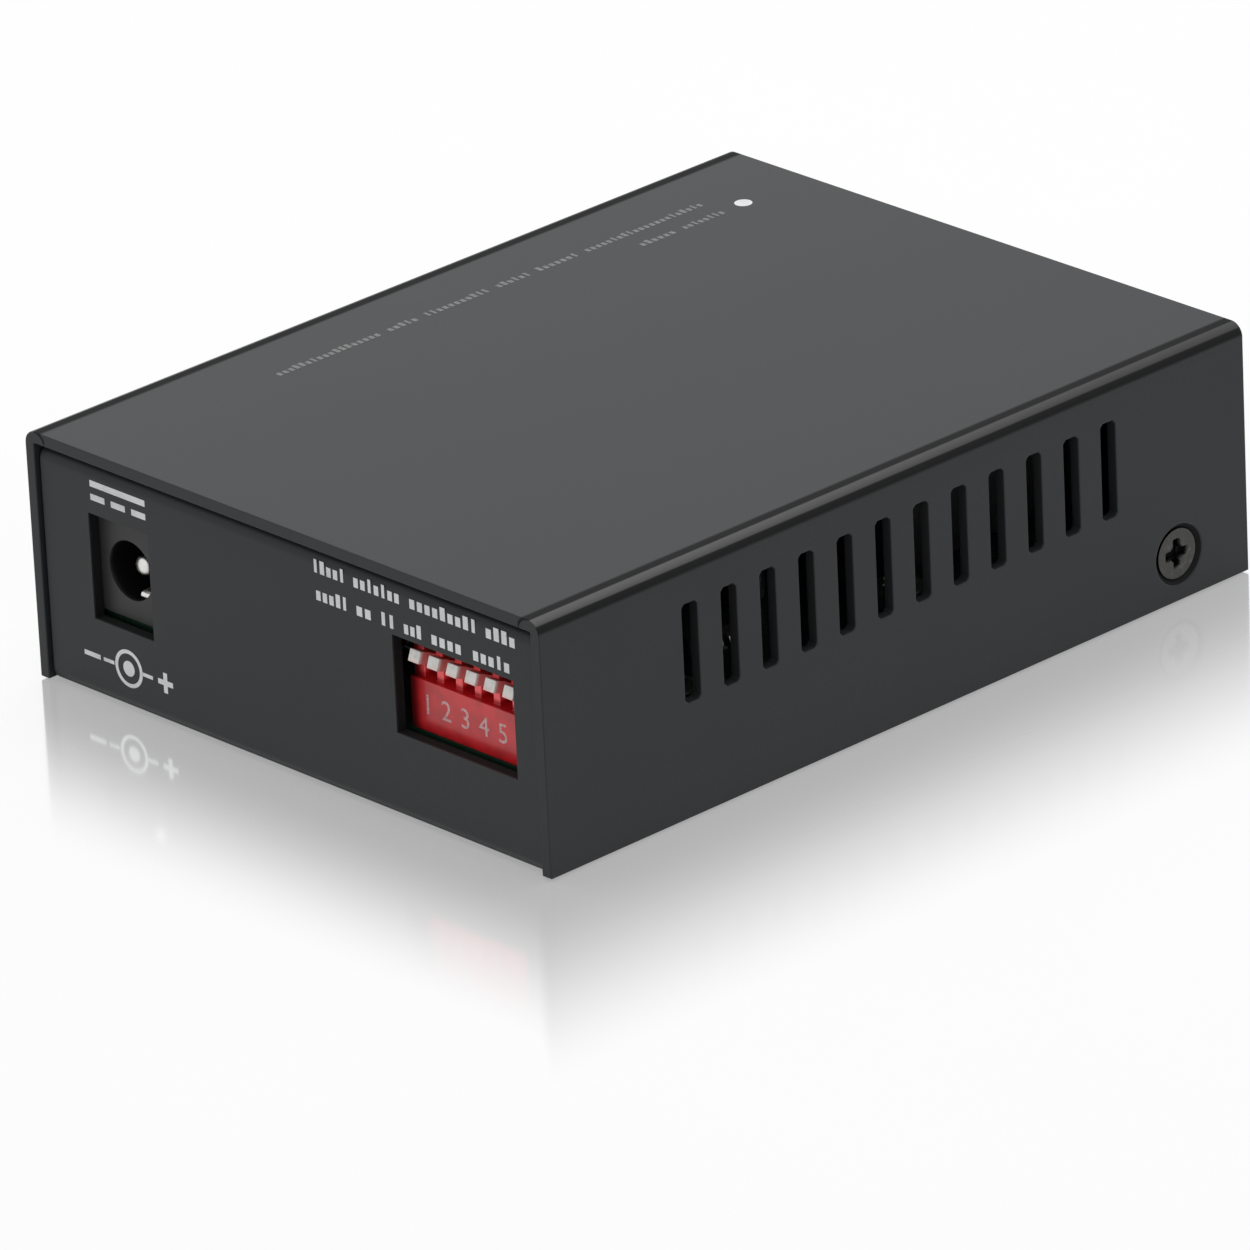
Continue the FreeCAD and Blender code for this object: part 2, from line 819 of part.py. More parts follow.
def switch_pin_places(s):
    """Two rows of solder pins under the lever switch, one pair for each lever."""
    middle = s.switch_front - s.switch_depth / 2
    return [
        (s.first_lever_x + s.lever_pitch * column, middle + s.switch_pin_rows * row)
        for column in range(int(s.lever_count.number))
        for row in (-0.5, 0.5)
    ]


def inlet_leg_places(s):
    """Three solder legs under the power inlet."""
    return [
        (s.inlet_x, s.inlet_back + s.leg_margin),
        (s.inlet_x, s.inlet_face - s.inlet_depth / 2),
        (s.inlet_x - s.inlet_width / 2 + s.leg_side, s.inlet_face - s.leg_back),
    ]


def network_pin_places(s):
    """Two staggered rows of four solder pins under the network socket."""
    back = s.front_face + s.network_depth - s.network_pin_back
    return [
        (s.network_x + s.wire_pitch * (index - 3.5), back - s.pin_pitch * (index % 2))
        for index in range(8)
    ]


def fibre_pin_places(s):
    """One row of nine solder pins under the fibre transceiver."""
    y = s.module_back - s.module_pin_back
    return [(s.fibre_x + s.pin_pitch * (index - 4), y) for index in range(9)]


def make_circuit_board(doc, s):
    """The one board, drilled for its four screws and slotted for every solder pin."""
    plate_item = block(doc, "BoardPlate", (-s.board_half, s.board_front, s.board_base),
                       (s.board_half, s.board_rear, s.board_top))
    holes = [
        rod(doc, "BoardHole", s.thread + s.fit, s.board_thick, (x, y, s.board_base))
        for x, y in s.board_posts
    ]
    side = s.pin_side + s.fit * 2
    places = (switch_pin_places(s) + inlet_leg_places(s)
              + network_pin_places(s) + fibre_pin_places(s))
    holes += [
        standing_block(doc, "PinHole", at, s.board_base, (side, side, s.board_thick))
        for at in places
    ]
    return labelled(cut(doc, "Board", plate_item, holes), "circuit_board")


def make_pins(doc, s, label, places):
    """Square solder pins from the board's top face to a little below its underside."""
    size = (s.pin_side, s.pin_side, s.board_thick + s.pin_reach)
    base = s.board_base - s.pin_reach
    return group(doc, label, [standing_block(doc, "Pin", at, base, size) for at in places])


# Power inlet


def make_inlet_body(doc, s):
    """Square front and a round-backed barrel, with the bore that takes the power plug."""
    body = new_body(doc, "power_inlet_body")
    half = s.inlet_width / 2
    left, right = s.inlet_x - half, s.inlet_x + half
    front = new_sketch(body, "InletFront", "XZ_Plane", -s.inlet_face)
    draw_box(front, left, s.board_top, right, s.board_top + s.inlet_height)
    pad(body, front, s.inlet_front)
    barrel = new_sketch(body, "InletBarrel", "XZ_Plane", -s.inlet_face)
    draw_outline(barrel, [
        (left, s.board_top),
        (right, s.board_top),
        (right, s.inlet_axis_z + half, s.inlet_shoulder),
        (left, s.inlet_axis_z + half, s.inlet_shoulder),
    ])
    pad(body, barrel, s.inlet_depth)
    for name, radius, depth in (
        ("InletBore", s.inlet_bore, s.inlet_bore_depth),
        ("TailHole", s.inlet_tail, s.inlet_depth),
    ):
        bore = new_sketch(body, name, "XZ_Plane", -s.inlet_face)
        draw_circle(bore, s.inlet_x, s.inlet_axis_z, radius)
        pocket(body, bore, depth, reverse=True)
    return body


def make_inlet_pin(doc, s):
    """The centre contact: a coned pin, shouldered on the back wall that its tail goes through."""
    shoulder = s.inlet_face - s.inlet_bore_depth
    tip_start = s.inlet_face - s.inlet_pin_sink - s.inlet_tip
    x, z = s.inlet_x, s.inlet_axis_z
    tail = rod(doc, "InletTail", s.inlet_tail, shoulder - s.inlet_back,
               (x, s.inlet_back, z), ALONG_Y)
    shank = rod(doc, "InletShank", s.inlet_pin, tip_start - shoulder, (x, shoulder, z), ALONG_Y)
    end = cone(doc, "InletTip", s.inlet_pin, s.inlet_pin - s.inlet_tip, s.inlet_tip,
               (x, tip_start, z), ALONG_Y)
    return labelled(fuse(doc, "InletPin", [tail, shank, end]), "power_inlet_pin")


def make_inlet_spring(doc, s):
    """The outer contact: a flat leaf low in the bore, standing on its back wall."""
    x = s.inlet_x - s.leaf_side
    z = s.inlet_axis_z - s.leaf_drop
    leaf = block(doc, "InletSpring", (x, s.inlet_face - s.inlet_bore_depth, z),
                 (x + s.leaf_width, s.inlet_face - s.leaf_sink, z + s.leaf_thick))
    return labelled(leaf, "power_inlet_spring")


# Lever switch


def make_switch_body(doc, s):
    """Moulded housing: a ledged front, six narrow chambers and square holes for the axle."""
    body = new_body(doc, "switch_body")
    ledge_z = s.board_top + s.switch_ledge
    face = s.switch_front - s.switch_setback
    profile = new_sketch(body, "SwitchProfile", "YZ_Plane", s.switch_low_x)
    draw_outline(profile, [
        (s.switch_back, s.board_top),
        (s.switch_front, s.board_top),
        (s.switch_front, ledge_z),
        (face, ledge_z),
        (face, s.switch_top),
        (s.switch_back, s.switch_top),
    ])
    pad(body, profile, s.switch_width)
    half = s.lever_width / 2 + s.lever_play
    room = s.lever_hub + s.chamber_room
    chamber = new_sketch(body, "Chamber", "YZ_Plane", s.first_lever_x - half)
    draw_outline(chamber, [
        (s.pivot_y - room, s.pivot_z - room),
        (s.pivot_y + room, s.pivot_z - room),
        (s.pivot_y + room, ledge_z),
        (s.switch_front, ledge_z),
        (s.switch_front, s.switch_top - s.switch_wall),
        (s.pivot_y - room, s.switch_top - s.switch_wall),
    ])
    first = pocket(body, chamber, half * 2, reverse=True)
    across = new_sketch(body, "RowGuide", "XZ_Plane")
    draw_circle(across, s.switch_x, s.pivot_z, s.axle_radius)
    repeat(body, first, across, "H_Axis", s.lever_pitch, s.lever_count)
    hole = new_sketch(body, "AxleHole", "YZ_Plane", s.switch_low_x)
    draw_box(hole, s.pivot_y - s.axle_radius, s.pivot_z - s.axle_radius,
             s.pivot_y + s.axle_radius, s.pivot_z + s.axle_radius)
    pocket(body, hole, s.switch_width, reverse=True)
    return body


def make_switch_lever(doc, s, number):
    """One lever, counted from the left seen from the rear: hub, arm and square finger tip.

    Hub and bore are octagonal, and the lever is tilted up at rest.
    """
    body = new_body(doc, "switch_lever_%d" % number)
    sketch = new_sketch(body, "Lever%d" % number, "YZ_Plane")
    hub, flat, arm, tip = s.lever_hub, s.lever_hub_flat, s.lever_arm, s.lever_tip
    tip_start = s.lever_length - tip * 2
    draw_outline(sketch, [
        (hub, -arm),
        (tip_start - s.lever_step, -arm),
        (tip_start, -tip),
        (s.lever_length, -tip),
        (s.lever_length, tip),
        (tip_start, tip),
        (tip_start - s.lever_step, arm),
        (hub, arm),
        (flat, hub),
        (-flat, hub),
        (-hub, flat),
        (-hub, -flat),
        (-flat, -hub),
        (flat, -hub),
    ])
    pad(body, sketch, s.lever_width, both_ways=True)
    bore = new_sketch(body, "LeverBore%d" % number, "YZ_Plane")
    wall = s.axle_radius + s.fit
    corner = wall * s.lever_bore_flat
    draw_outline(bore, [
        (wall, -corner),
        (wall, corner),
        (corner, wall),
        (-corner, wall),
        (-wall, corner),
        (-wall, -corner),
        (-corner, -wall),
        (corner, -wall),
    ])
    pocket(body, bore, both_ways=True)
    x = s.first_lever_x + s.lever_pitch * (s.lever_count - number)
    tilt = FreeCAD.Rotation(Vector(1, 0, 0), s.lever_rest.number)
    place(body, (x, s.pivot_y, s.pivot_z), tilt)
    body.setExpression("Placement.Rotation.Angle", s.lever_rest.text + " * 1 deg")
    return body


def make_switch_axle(doc, s):
    """The steel rod that all six levers turn on."""
    axle = rod(doc, "SwitchAxle", s.axle_radius, s.switch_width,
               (s.switch_low_x, s.pivot_y, s.pivot_z), ALONG_X)
    return labelled(axle, "switch_axle")


# Network socket


def make_network_shield(doc, s):
    """A folded metal shell round the network socket, open in front and underneath."""
    body = new_body(doc, "network_shield")
    half = s.network_width / 2
    top = s.board_top + s.network_height
    outer = new_sketch(body, "ShieldOuter", "XZ_Plane", -s.front_face)
    draw_box(outer, s.network_x - half, s.board_top, s.network_x + half, top)
    pad(body, outer, s.network_depth, reverse=True)
    inner = new_sketch(body, "ShieldInner", "XZ_Plane", -s.front_face)
    draw_box(inner, s.network_x - half + s.shield, s.board_top,
             s.network_x + half - s.shield, top - s.shield)
    pocket(body, inner, s.network_depth - s.shield)
    return body


def make_network_body(doc, s):
    """The moulded socket inside the shield, with the stepped hollow that takes a plug."""
    body = new_body(doc, "network_socket_body")
    x = s.network_x
    half = s.network_width / 2 - s.shield
    top = s.board_top + s.network_height - s.shield
    outer = new_sketch(body, "SocketOuter", "XZ_Plane", -s.front_face)
    draw_box(outer, x - half, s.board_top, x + half, top)
    pad(body, outer, s.network_depth - s.shield, reverse=True)
    roof = s.board_top + s.network_height - s.plug_roof
    floor = roof - s.plug_height
    latch = floor - (floor - s.board_top) * 0.28
    key = floor - (floor - s.board_top) * 0.56
    mouth = new_sketch(body, "PlugMouth", "XZ_Plane", -s.front_face)
    draw_outline(mouth, [
        (x - s.key_width / 2, key),
        (x + s.key_width / 2, key),
        (x + s.key_width / 2, latch),
        (x + s.latch_width / 2, latch),
        (x + s.latch_width / 2, floor),
        (x + s.plug_width / 2, floor),
        (x + s.plug_width / 2, roof),
        (x - s.plug_width / 2, roof),
        (x - s.plug_width / 2, floor),
        (x - s.latch_width / 2, floor),
        (x - s.latch_width / 2, latch),
        (x - s.key_width / 2, latch),
    ])
    pocket(body, mouth, s.plug_depth)
    return body


def make_network_wires(doc, s):
    """Eight sprung contact wires: flat on the socket's roof, then down to its back wall."""
    roof = s.board_top + s.network_height - s.plug_roof
    bend_y = s.wire_start + s.wire_flat
    outline = [
        (s.wire_start, s.zero),
        (s.wire_start, -s.wire_thick),
        (bend_y, -s.wire_thick),
        (s.plug_depth, -s.wire_dip - s.wire_thick),
        (s.plug_depth, -s.wire_dip),
        (bend_y, s.zero),
    ]
    wires = []
    for index in range(8):
        x = s.network_x + s.wire_pitch * (index - 3.5) - s.wire_width / 2
        at = (x, s.front_face, roof)
        wires.append(plate(doc, "Wire", outline, s.wire_width, at, SIDE_ON))
    return group(doc, "network_contacts", wires)


# Duplex fibre port


def fibre_mouth_places(s):
    return [s.fibre_x - s.fibre_pitch / 2, s.fibre_x + s.fibre_pitch / 2]


def make_fibre_housing(doc, s):
    """The moulded front of the fibre port, with two keyed mouths for fibre plugs."""
    body = new_body(doc, "fibre_port_body")
    half = s.fibre_width / 2
    outer = new_sketch(body, "FibreOuter", "XZ_Plane", -s.front_face)
    draw_box(outer, s.fibre_x - half, s.board_top, s.fibre_x + half,
             s.board_top + s.fibre_height)
    pad(body, outer, s.fibre_front_depth, reverse=True)
    mouths = new_sketch(body, "FibreMouths", "XZ_Plane", -s.front_face)
    floor = s.fibre_middle - s.fibre_mouth_height / 2
    roof = s.fibre_middle + s.fibre_mouth_height / 2
    half = s.fibre_mouth_width / 2
    key_half = s.fibre_key_width / 2
    for x in fibre_mouth_places(s):
        draw_outline(mouths, [
            (x - half, floor),
            (x + half, floor),
            (x + half, roof),
            (x + key_half, roof),
            (x + key_half, roof + s.fibre_key_height),
            (x - key_half, roof + s.fibre_key_height),
            (x - key_half, roof),
            (x - half, roof),
        ])
    pocket(body, mouths, s.fibre_mouth_depth)
    return body


def make_ferrules(doc, s):
    """Two round sleeves, one standing on the back wall of each fibre mouth."""
    start = s.front_face + s.fibre_mouth_depth - s.ferrule_length
    sleeves = []
    for x in fibre_mouth_places(s):
        at = (x, start, s.fibre_middle)
        outer = rod(doc, "SleeveOuter", s.ferrule_outer, s.ferrule_length, at, ALONG_Y)
        bore = rod(doc, "SleeveBore", s.ferrule_bore, s.ferrule_length, at, ALONG_Y)
        sleeves.append(cut(doc, "Sleeve", outer, [bore]))
    return group(doc, "fibre_sleeves", sleeves)


def make_fibre_latches(doc, s):
    """Sprung hooks either side of each sleeve, which hold a fibre plug."""
    back = s.front_face + s.fibre_mouth_depth
    nose = s.hook_short - s.ferrule_length
    hooks = []
    for x in fibre_mouth_places(s):
        for hand in (-1, 1):
            outline = [
                (s.zero, s.zero),
                (s.hook_thick * hand, s.zero),
                (s.hook_thick * hand, nose),
                (-s.hook_nose * hand, nose),
                (s.zero, nose + s.hook_slope),
            ]
            at = (x + (s.ferrule_outer + s.hook_gap) * hand, back,
                  s.fibre_middle - s.hook_height / 2)
            hooks.append(plate(doc, "Hook", outline, s.hook_height, at))
    return group(doc, "fibre_latches", hooks)


def make_fibre_module(doc, s):
    """The potted transceiver behind the fibre port, with bevelled upper edges."""
    half = s.fibre_width / 2 - s.module_recess
    bevel = s.module_bevel
    outline = [
        (-half, s.zero),
        (half, s.zero),
        (half, s.module_height - bevel),
        (half - bevel, s.module_height),
        (bevel - half, s.module_height),
        (-half, s.module_height - bevel),
    ]
    at = (s.fibre_x, s.module_back, s.board_top)
    return labelled(plate(doc, "Module", outline, s.module_depth, at, FACING_FRONT),
                    "fibre_transceiver")


# Status lights


def light_blocks(doc, s, name, margin, start, end):
    """A bar at the place of each status light, a margin larger all round than a lamp."""
    half_width = s.light_width / 2 + margin
    half_height = s.light_height / 2 + margin
    return [
        block(doc, name, (x - half_width, start, z - half_height),
              (x + half_width, end, z + half_height))
        for x, z in light_places(s)
    ]


def make_light_block(doc, s):
    """Black holder that carries the six status lights behind the front panel."""
    at = (s.light_x, s.inner_front + s.light_block_depth / 2)
    base = standing_block(doc, "LightBlock", at, s.board_top,
                          (s.light_block_width, s.light_block_depth, s.light_block_height))
    end = s.inner_front + s.light_block_depth - s.light_wall
    bores = light_blocks(doc, s, "LightBore", s.light_fit, s.inner_front, end)
    return labelled(cut(doc, "LightHolder", base, bores), "status_light_block")


def make_lights(doc, s):
    """Six rectangular lamps, each level with the front panel's face."""
    end = s.inner_front + s.light_block_depth - s.light_wall
    lamps = light_blocks(doc, s, "Light", s.zero, s.front_face, end)
    return group(doc, "status_lights", lamps)


# Parts on the board


def make_controller_chip(doc, s):
    """A square chip package, raised on its leads, with a round mark at lead one."""
    base = standing_block(doc, "ChipBlock", (s.chip_x, s.chip_y), s.chip_low,
                          (s.chip_side, s.chip_side, s.chip_height))
    inset = s.chip_side / 2 - s.chip_mark_inset
    at = (s.chip_x - inset, s.chip_y - inset, s.chip_low + s.chip_height - s.chip_mark_depth)
    mark = rod(doc, "ChipMark", s.chip_mark, s.chip_mark_depth, at)
    return labelled(cut(doc, "Chip", base, [mark]), "controller_chip")


def make_chip_leads(doc, s):
    """Flat leads on the chip's four sides, from its edge to the board."""
    reach = (s.chip_side + s.chip_lead_length) / 2
    leads = []
    for index in range(int(s.chip_lead_count.number)):
        along = s.chip_lead_pitch * index - s.chip_lead_pitch * (s.chip_lead_count - 1) / 2
        for side in (-1, 1):
            for at, width, depth in (
                ((s.chip_x + reach * side, s.chip_y + along), s.chip_lead_length,
                 s.chip_lead_width),
                ((s.chip_x + along, s.chip_y + reach * side), s.chip_lead_width,
                 s.chip_lead_length),
            ):
                size = (width, depth, s.chip_lead_thick)
                leads.append(standing_block(doc, "Lead", at, s.board_top, size))
    return group(doc, "controller_leads", leads)


def make_transformer(doc, s):
    """The moulded network isolation transformer behind the network socket."""
    front = s.front_face + s.network_depth + s.transformer_gap
    base = standing_block(doc, "TransformerBlock",
                          (s.network_x, front + s.transformer_depth / 2), s.board_top,
                          (s.transformer_width, s.transformer_depth, s.transformer_height))
    size = s.transformer_notch_size
    notch = standing_block(doc, "TransformerNotch", (s.network_x, front + size / 2),
                           s.board_top + s.transformer_height - size,
                           (s.transformer_notch, size, size))
    return labelled(cut(doc, "Transformer", base, [notch]), "network_transformer")


def make_capacitors(doc, s):
    """Two can capacitors beside the power inlet."""
    x = s.inlet_x - s.inlet_width / 2 - s.capacitor_side_gap - s.capacitor_radius
    rear = s.board_rear - s.capacitor_rear_gap - s.capacitor_radius
    step = s.capacitor_radius * 2 + s.capacitor_space
    cans = [
        rod(doc, "Can", s.capacitor_radius, s.capacitor_height, (x, y, s.board_top))
        for y in (rear, rear - step)
    ]
    return group(doc, "filter_capacitors", cans)


def make_coil(doc, s):
    """Drum core of the power converter: two flanges and a wound waist."""
    x, y = s.coil_x, s.coil_y
    low, high = s.board_top, s.board_top + s.coil_height - s.coil_flange
    foot = rod(doc, "CoilFoot", s.coil_radius, s.coil_flange, (x, y, low))
    waist = rod(doc, "CoilWaist", s.coil_waist, high - low - s.coil_flange,
                (x, y, low + s.coil_flange))
    top = rod(doc, "CoilTop", s.coil_radius, s.coil_flange, (x, y, high))
    return labelled(fuse(doc, "Coil", [foot, waist, top]), "power_coil")


def make_crystal(doc, s):
    """A low metal crystal can with well-rounded ends."""
    half, side, corner = s.crystal_length / 2, s.crystal_depth / 2, s.crystal_round
    outline = [
        (-half, -side, corner),
        (half, -side, corner),
        (half, side, corner),
        (-half, side, corner),
    ]
    at = (s.crystal_x, s.crystal_y, s.board_top)
    return labelled(plate(doc, "Crystal", outline, s.crystal_height, at), "crystal_can")


def make_small_chips(doc, s):
    """Memory chip, power regulator and the resistor pack that serves the lever switch."""
    pack_y = s.switch_back - s.pack_gap - s.pack_depth / 2
    made = []
    for label, at, size in (
        ("memory_chip", (s.memory_edge - s.board_half, s.memory_y),
         (s.memory_width, s.memory_depth, s.memory_height)),
        ("power_regulator", (s.coil_x, s.regulator_y),
         (s.regulator_width, s.regulator_depth, s.regulator_height)),
        ("resistor_pack", (s.switch_x + s.pack_side, pack_y),
         (s.pack_width, s.pack_depth, s.pack_height)),
    ):
        item = standing_block(doc, label + "_block", at, s.board_top, size)
        made.append(labelled(item, label))
    return made


def small_part_places(s):
    """Three rows of chip parts across the board and one beside the power regulator."""
    places = []
    for row_x, row_y, count in (
        (s.near_row_x, s.near_row_y, 5),
        (s.middle_row_x, s.middle_row_y, 6),
        (s.far_row_x, s.board_rear - s.far_row_back, 4),
    ):
        places += [(row_x + s.small_space * index, row_y) for index in range(count)]
    side_x = s.coil_x + s.side_row_gap
    side_y = s.regulator_y - s.side_row_start
    places += [(side_x, side_y + s.side_row_space * index) for index in range(4)]
    return places


def make_small_parts(doc, s):
    size = (s.small_width, s.small_length, s.small_height)
    pieces = [
        standing_block(doc, "Small", at, s.board_top, size)
        for at in small_part_places(s)
    ]
    return group(doc, "small_parts", pieces)


def make_everything(doc, s):
    made = [
        make_top_cover(doc, s),
        make_base_tray(doc, s),
        make_cover_screws(doc, s),
        make_cover_nuts(doc, s),
        make_board_standoffs(doc, s),
        make_board_screws(doc, s),
        make_circuit_board(doc, s),
        make_inlet_body(doc, s),
        make_inlet_pin(doc, s),
        make_inlet_spring(doc, s),
        make_pins(doc, s, "power_inlet_legs", inlet_leg_places(s)),
        make_switch_body(doc, s),
        make_switch_axle(doc, s),
        make_pins(doc, s, "switch_pins", switch_pin_places(s)),
        make_network_shield(doc, s),
        make_network_body(doc, s),
        make_network_wires(doc, s),
        make_pins(doc, s, "network_pins", network_pin_places(s)),
        make_fibre_housing(doc, s),
        make_ferrules(doc, s),
        make_fibre_latches(doc, s),
        make_fibre_module(doc, s),
        make_pins(doc, s, "fibre_pins", fibre_pin_places(s)),
        make_light_block(doc, s),
        make_lights(doc, s),
        make_controller_chip(doc, s),
        make_chip_leads(doc, s),
        make_transformer(doc, s),
        make_capacitors(doc, s),
        make_coil(doc, s),
        make_crystal(doc, s),
        make_small_parts(doc, s),
    ]
    made += make_small_chips(doc, s)
    made += [
        make_switch_lever(doc, s, number)
        for number in range(1, int(s.lever_count.number) + 1)
    ]
    return made


def check_and_write(doc, made):
    """Stop on any failed object, then write one file for each piece."""
    for item in doc.Objects:
        if {"Invalid", "Error"} & set(item.State):
            raise RuntimeError("%s (%s) failed: %s" % (item.Name, item.Label, item.State))
    for item in made:
        if item.Shape.isNull() or not item.Shape.isValid():
            raise RuntimeError("%s has no valid shape" % item.Label)
    os.makedirs("parts", exist_ok=True)
    for item in made:
        solids = len(item.Shape.Solids)
        item.Shape.exportStep("parts/%s.step" % item.Label)
        print("%-22s %2d solids %9.1f mm3" % (item.Label, solids, item.Shape.Volume))


def main():
    doc = FreeCAD.newDocument("MediaConverter")
    sheet = Sheet(doc, SIZES)
    lay_out(sheet)
    made = make_everything(doc, sheet)
    doc.recompute()
    check_and_write(doc, made)


main()
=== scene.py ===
from functools import partial
from math import cos, pi, radians, sin

import bmesh
import bpy
import numpy as np
from bpy.props import FloatProperty, FloatVectorProperty, PointerProperty
from mathutils import Matrix, Vector


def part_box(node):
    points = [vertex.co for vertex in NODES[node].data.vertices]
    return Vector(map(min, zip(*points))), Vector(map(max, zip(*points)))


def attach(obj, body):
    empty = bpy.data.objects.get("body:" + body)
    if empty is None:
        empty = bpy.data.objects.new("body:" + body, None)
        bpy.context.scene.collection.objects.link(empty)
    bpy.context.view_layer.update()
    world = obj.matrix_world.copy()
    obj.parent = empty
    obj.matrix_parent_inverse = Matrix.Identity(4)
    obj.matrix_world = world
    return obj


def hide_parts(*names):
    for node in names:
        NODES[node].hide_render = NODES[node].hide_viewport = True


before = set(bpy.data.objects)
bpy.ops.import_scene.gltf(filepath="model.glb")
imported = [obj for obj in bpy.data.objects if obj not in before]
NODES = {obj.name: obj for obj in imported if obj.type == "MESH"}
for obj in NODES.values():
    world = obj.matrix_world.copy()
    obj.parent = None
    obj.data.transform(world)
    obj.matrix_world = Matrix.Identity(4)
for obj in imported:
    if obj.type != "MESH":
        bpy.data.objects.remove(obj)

bl_info = {
    "name": "Fibre media converter",
    "version": (1, 0, 0),
    "blender": (4, 5, 0),
    "location": "3D View > Sidebar > Converter",
    "description": "Finishes, edges, print and small parts of a folded steel media converter",
    "category": "Object",
}

MM = 0.001

# Sizes of the CAD pieces that no node's box gives
SWITCH_LEDGE = 5.2 * MM     # over the board
SCREW_THREAD = 1.5 * MM     # outer radius of every screw's thread
SLEEVE_BORE = 1.25 * MM     # radius
WIRE_WIDTH = 0.45 * MM
WIRE_THICK = 0.30 * MM
SMALL_PART = (1.2 * MM, 2.0 * MM, 0.7 * MM)

# Leads of a package: how many on a side, their pitch and width, and the sides, as turns
LEADS = {
    "controller_chip": (12, 1.0 * MM, 0.4 * MM, (0, 90, 180, 270)),
    "memory_chip": (4, 1.27 * MM, 0.42 * MM, (0, 180)),
    "power_regulator": (2, 2.3 * MM, 0.7 * MM, (270,)),
    "network_transformer": (8, 1.27 * MM, 0.45 * MM, (90, 270)),
}

HEAD_STEPS = 72     # steps round a screw's head, face and shank alike
SHARP = 34          # degrees: a blunter edge is shaded smooth


# Sizes and colours that a user would change


def length(label, note, default):
    """A length in metres, given and shown in millimetres."""
    return FloatProperty(name=label, description=note, default=default * MM, min=0.0,
                         precision=5, subtype="DISTANCE", unit="LENGTH")


def share(label, note, default):
    """A plain number from 0 to 1."""
    return FloatProperty(name=label, description=note, default=default, min=0.0, max=1.0,
                         subtype="FACTOR")


def colour(label, owner, default):
    """The colour of something, in linear light."""
    return FloatVectorProperty(name=label, description="Colour of the " + owner,
                               default=default, size=3, min=0.0, max=1.0, subtype="COLOR")


def rotation(label, note, default):
    """A turn, given in degrees."""
    return FloatProperty(name=label, description=note, default=radians(default),
                         subtype="ANGLE")


def place(label, note, default):
    """A point in metres."""
    return FloatVectorProperty(name=label, description=note, default=default, size=3,
                               subtype="TRANSLATION", unit="LENGTH")


class CaseSettings(bpy.types.PropertyGroup):
    edge: length("Edge easing", "How far the cut edges of the sheet steel are eased", 0.12)
    coat: colour("Coat", "powder coat", (0.0222, 0.0237, 0.0256))
    gloss: share("Coat gloss", "Strength of the coat's reflections", 0.22)
    coat_roughness: share("Coat roughness", "Roughness of the powder coat", 0.40)
    grain: length("Coat grain", "Size of the coat's fine grain", 0.30)
    fold: length("Fold radius", "Outer radius of the cover's two folds", 1.4)
    # Painted highlight: the paler colour along each fold's crest.
    fold_line: share("Fold line", "How bright the coat is rubbed along the crest of a fold", 0.060)
    # Painted shade: radius of the dark ring in each cover screw's countersink.
    screw_ring: length("Screw ring", "Radius of the dark countersink round a cover screw", 3.12)
    screw_rise: length("Screw rise", "How far a cover screw's head stands out of its seat", 0.3)
    screw: colour("Screws", "dark cover screws", (0.060, 0.059, 0.057))
    screw_rub: colour("Rubbed screws", "screws' faces where they are rubbed", (0.11, 0.109, 0.106))


class PrintSettings(bpy.types.PropertyGroup):
    ink: colour("Ink", "printed marks", (0.66, 0.68, 0.69))
    faint_ink: colour("Faint ink", "fine line printed on the top", (0.16, 0.165, 0.165))
    lift: length("Ink thickness", "How far the ink stands off the coat", 0.012)
    letter: length("Letter height", "Height of the two rows of small print", 1.35)
    fine_letter: length("Fine letter height", "Height of the rows printed on the top", 1.0)


class SwitchSettings(bpy.types.PropertyGroup):
    housing: colour("Housing", "switch housing", (0.56, 0.010, 0.016))
    # Painted light: the housing round the levers in a brighter, lit colour, though it gives no
    # light.
    glow: colour("Glow", "housing round the levers", (0.95, 0.085, 0.095))
    lever: colour("Levers", "switch levers", (0.80, 0.78, 0.74))
    # Painted red reflection: the colour of the levers below their tips, lit by the red housing.
    lever_root: colour("Lever roots", "levers where the housing shines through",
                       (0.66, 0.20, 0.19))
    edge: length("Edge easing", "How far the moulded edges are eased", 0.10)
    digit: length("Digit height", "Height of the digits below the levers", 2.1)
    digit_rise: length("Digit place", "From the housing's foot to the digits' middle", 2.7)
    digit_ink: colour("Digit ink", "digits below the levers", (0.66, 0.40, 0.40))


class InletSettings(bpy.types.PropertyGroup):
    plastic: colour("Nylon", "inlet's moulded nylon", (0.030, 0.030, 0.031))
    metal: colour("Contacts", "nickel-plated contacts", (0.78, 0.77, 0.74))
    edge: length("Edge easing", "How far the moulded edges are eased", 0.18)
    collar: length("Pin collar", "From the pin's tail to the collar where it widens", 4.7)
    leaf: length("Leaf thickness", "Thickness of the bowed leaf contact", 0.22)
    curl: length("Leaf curl", "Radius of the curl at the leaf's open end", 0.26)
    bow: length("Leaf bow", "How far the leaf bows up along its length", 0.35)


class PortSettings(bpy.types.PropertyGroup):
    plastic: colour("Plastic", "moulded ports", (0.016, 0.016, 0.018))
    shell: colour("Shell", "socket's tin-plated shell", (0.66, 0.66, 0.64))
    gold: colour("Contact wires", "gold-plated wires", (0.90, 0.63, 0.22))
    ceramic: colour("Sleeves", "ceramic sleeves", (0.82, 0.80, 0.74))
    lamp: colour("Lamps", "tinted lamp lenses", (0.20, 0.55, 0.18))


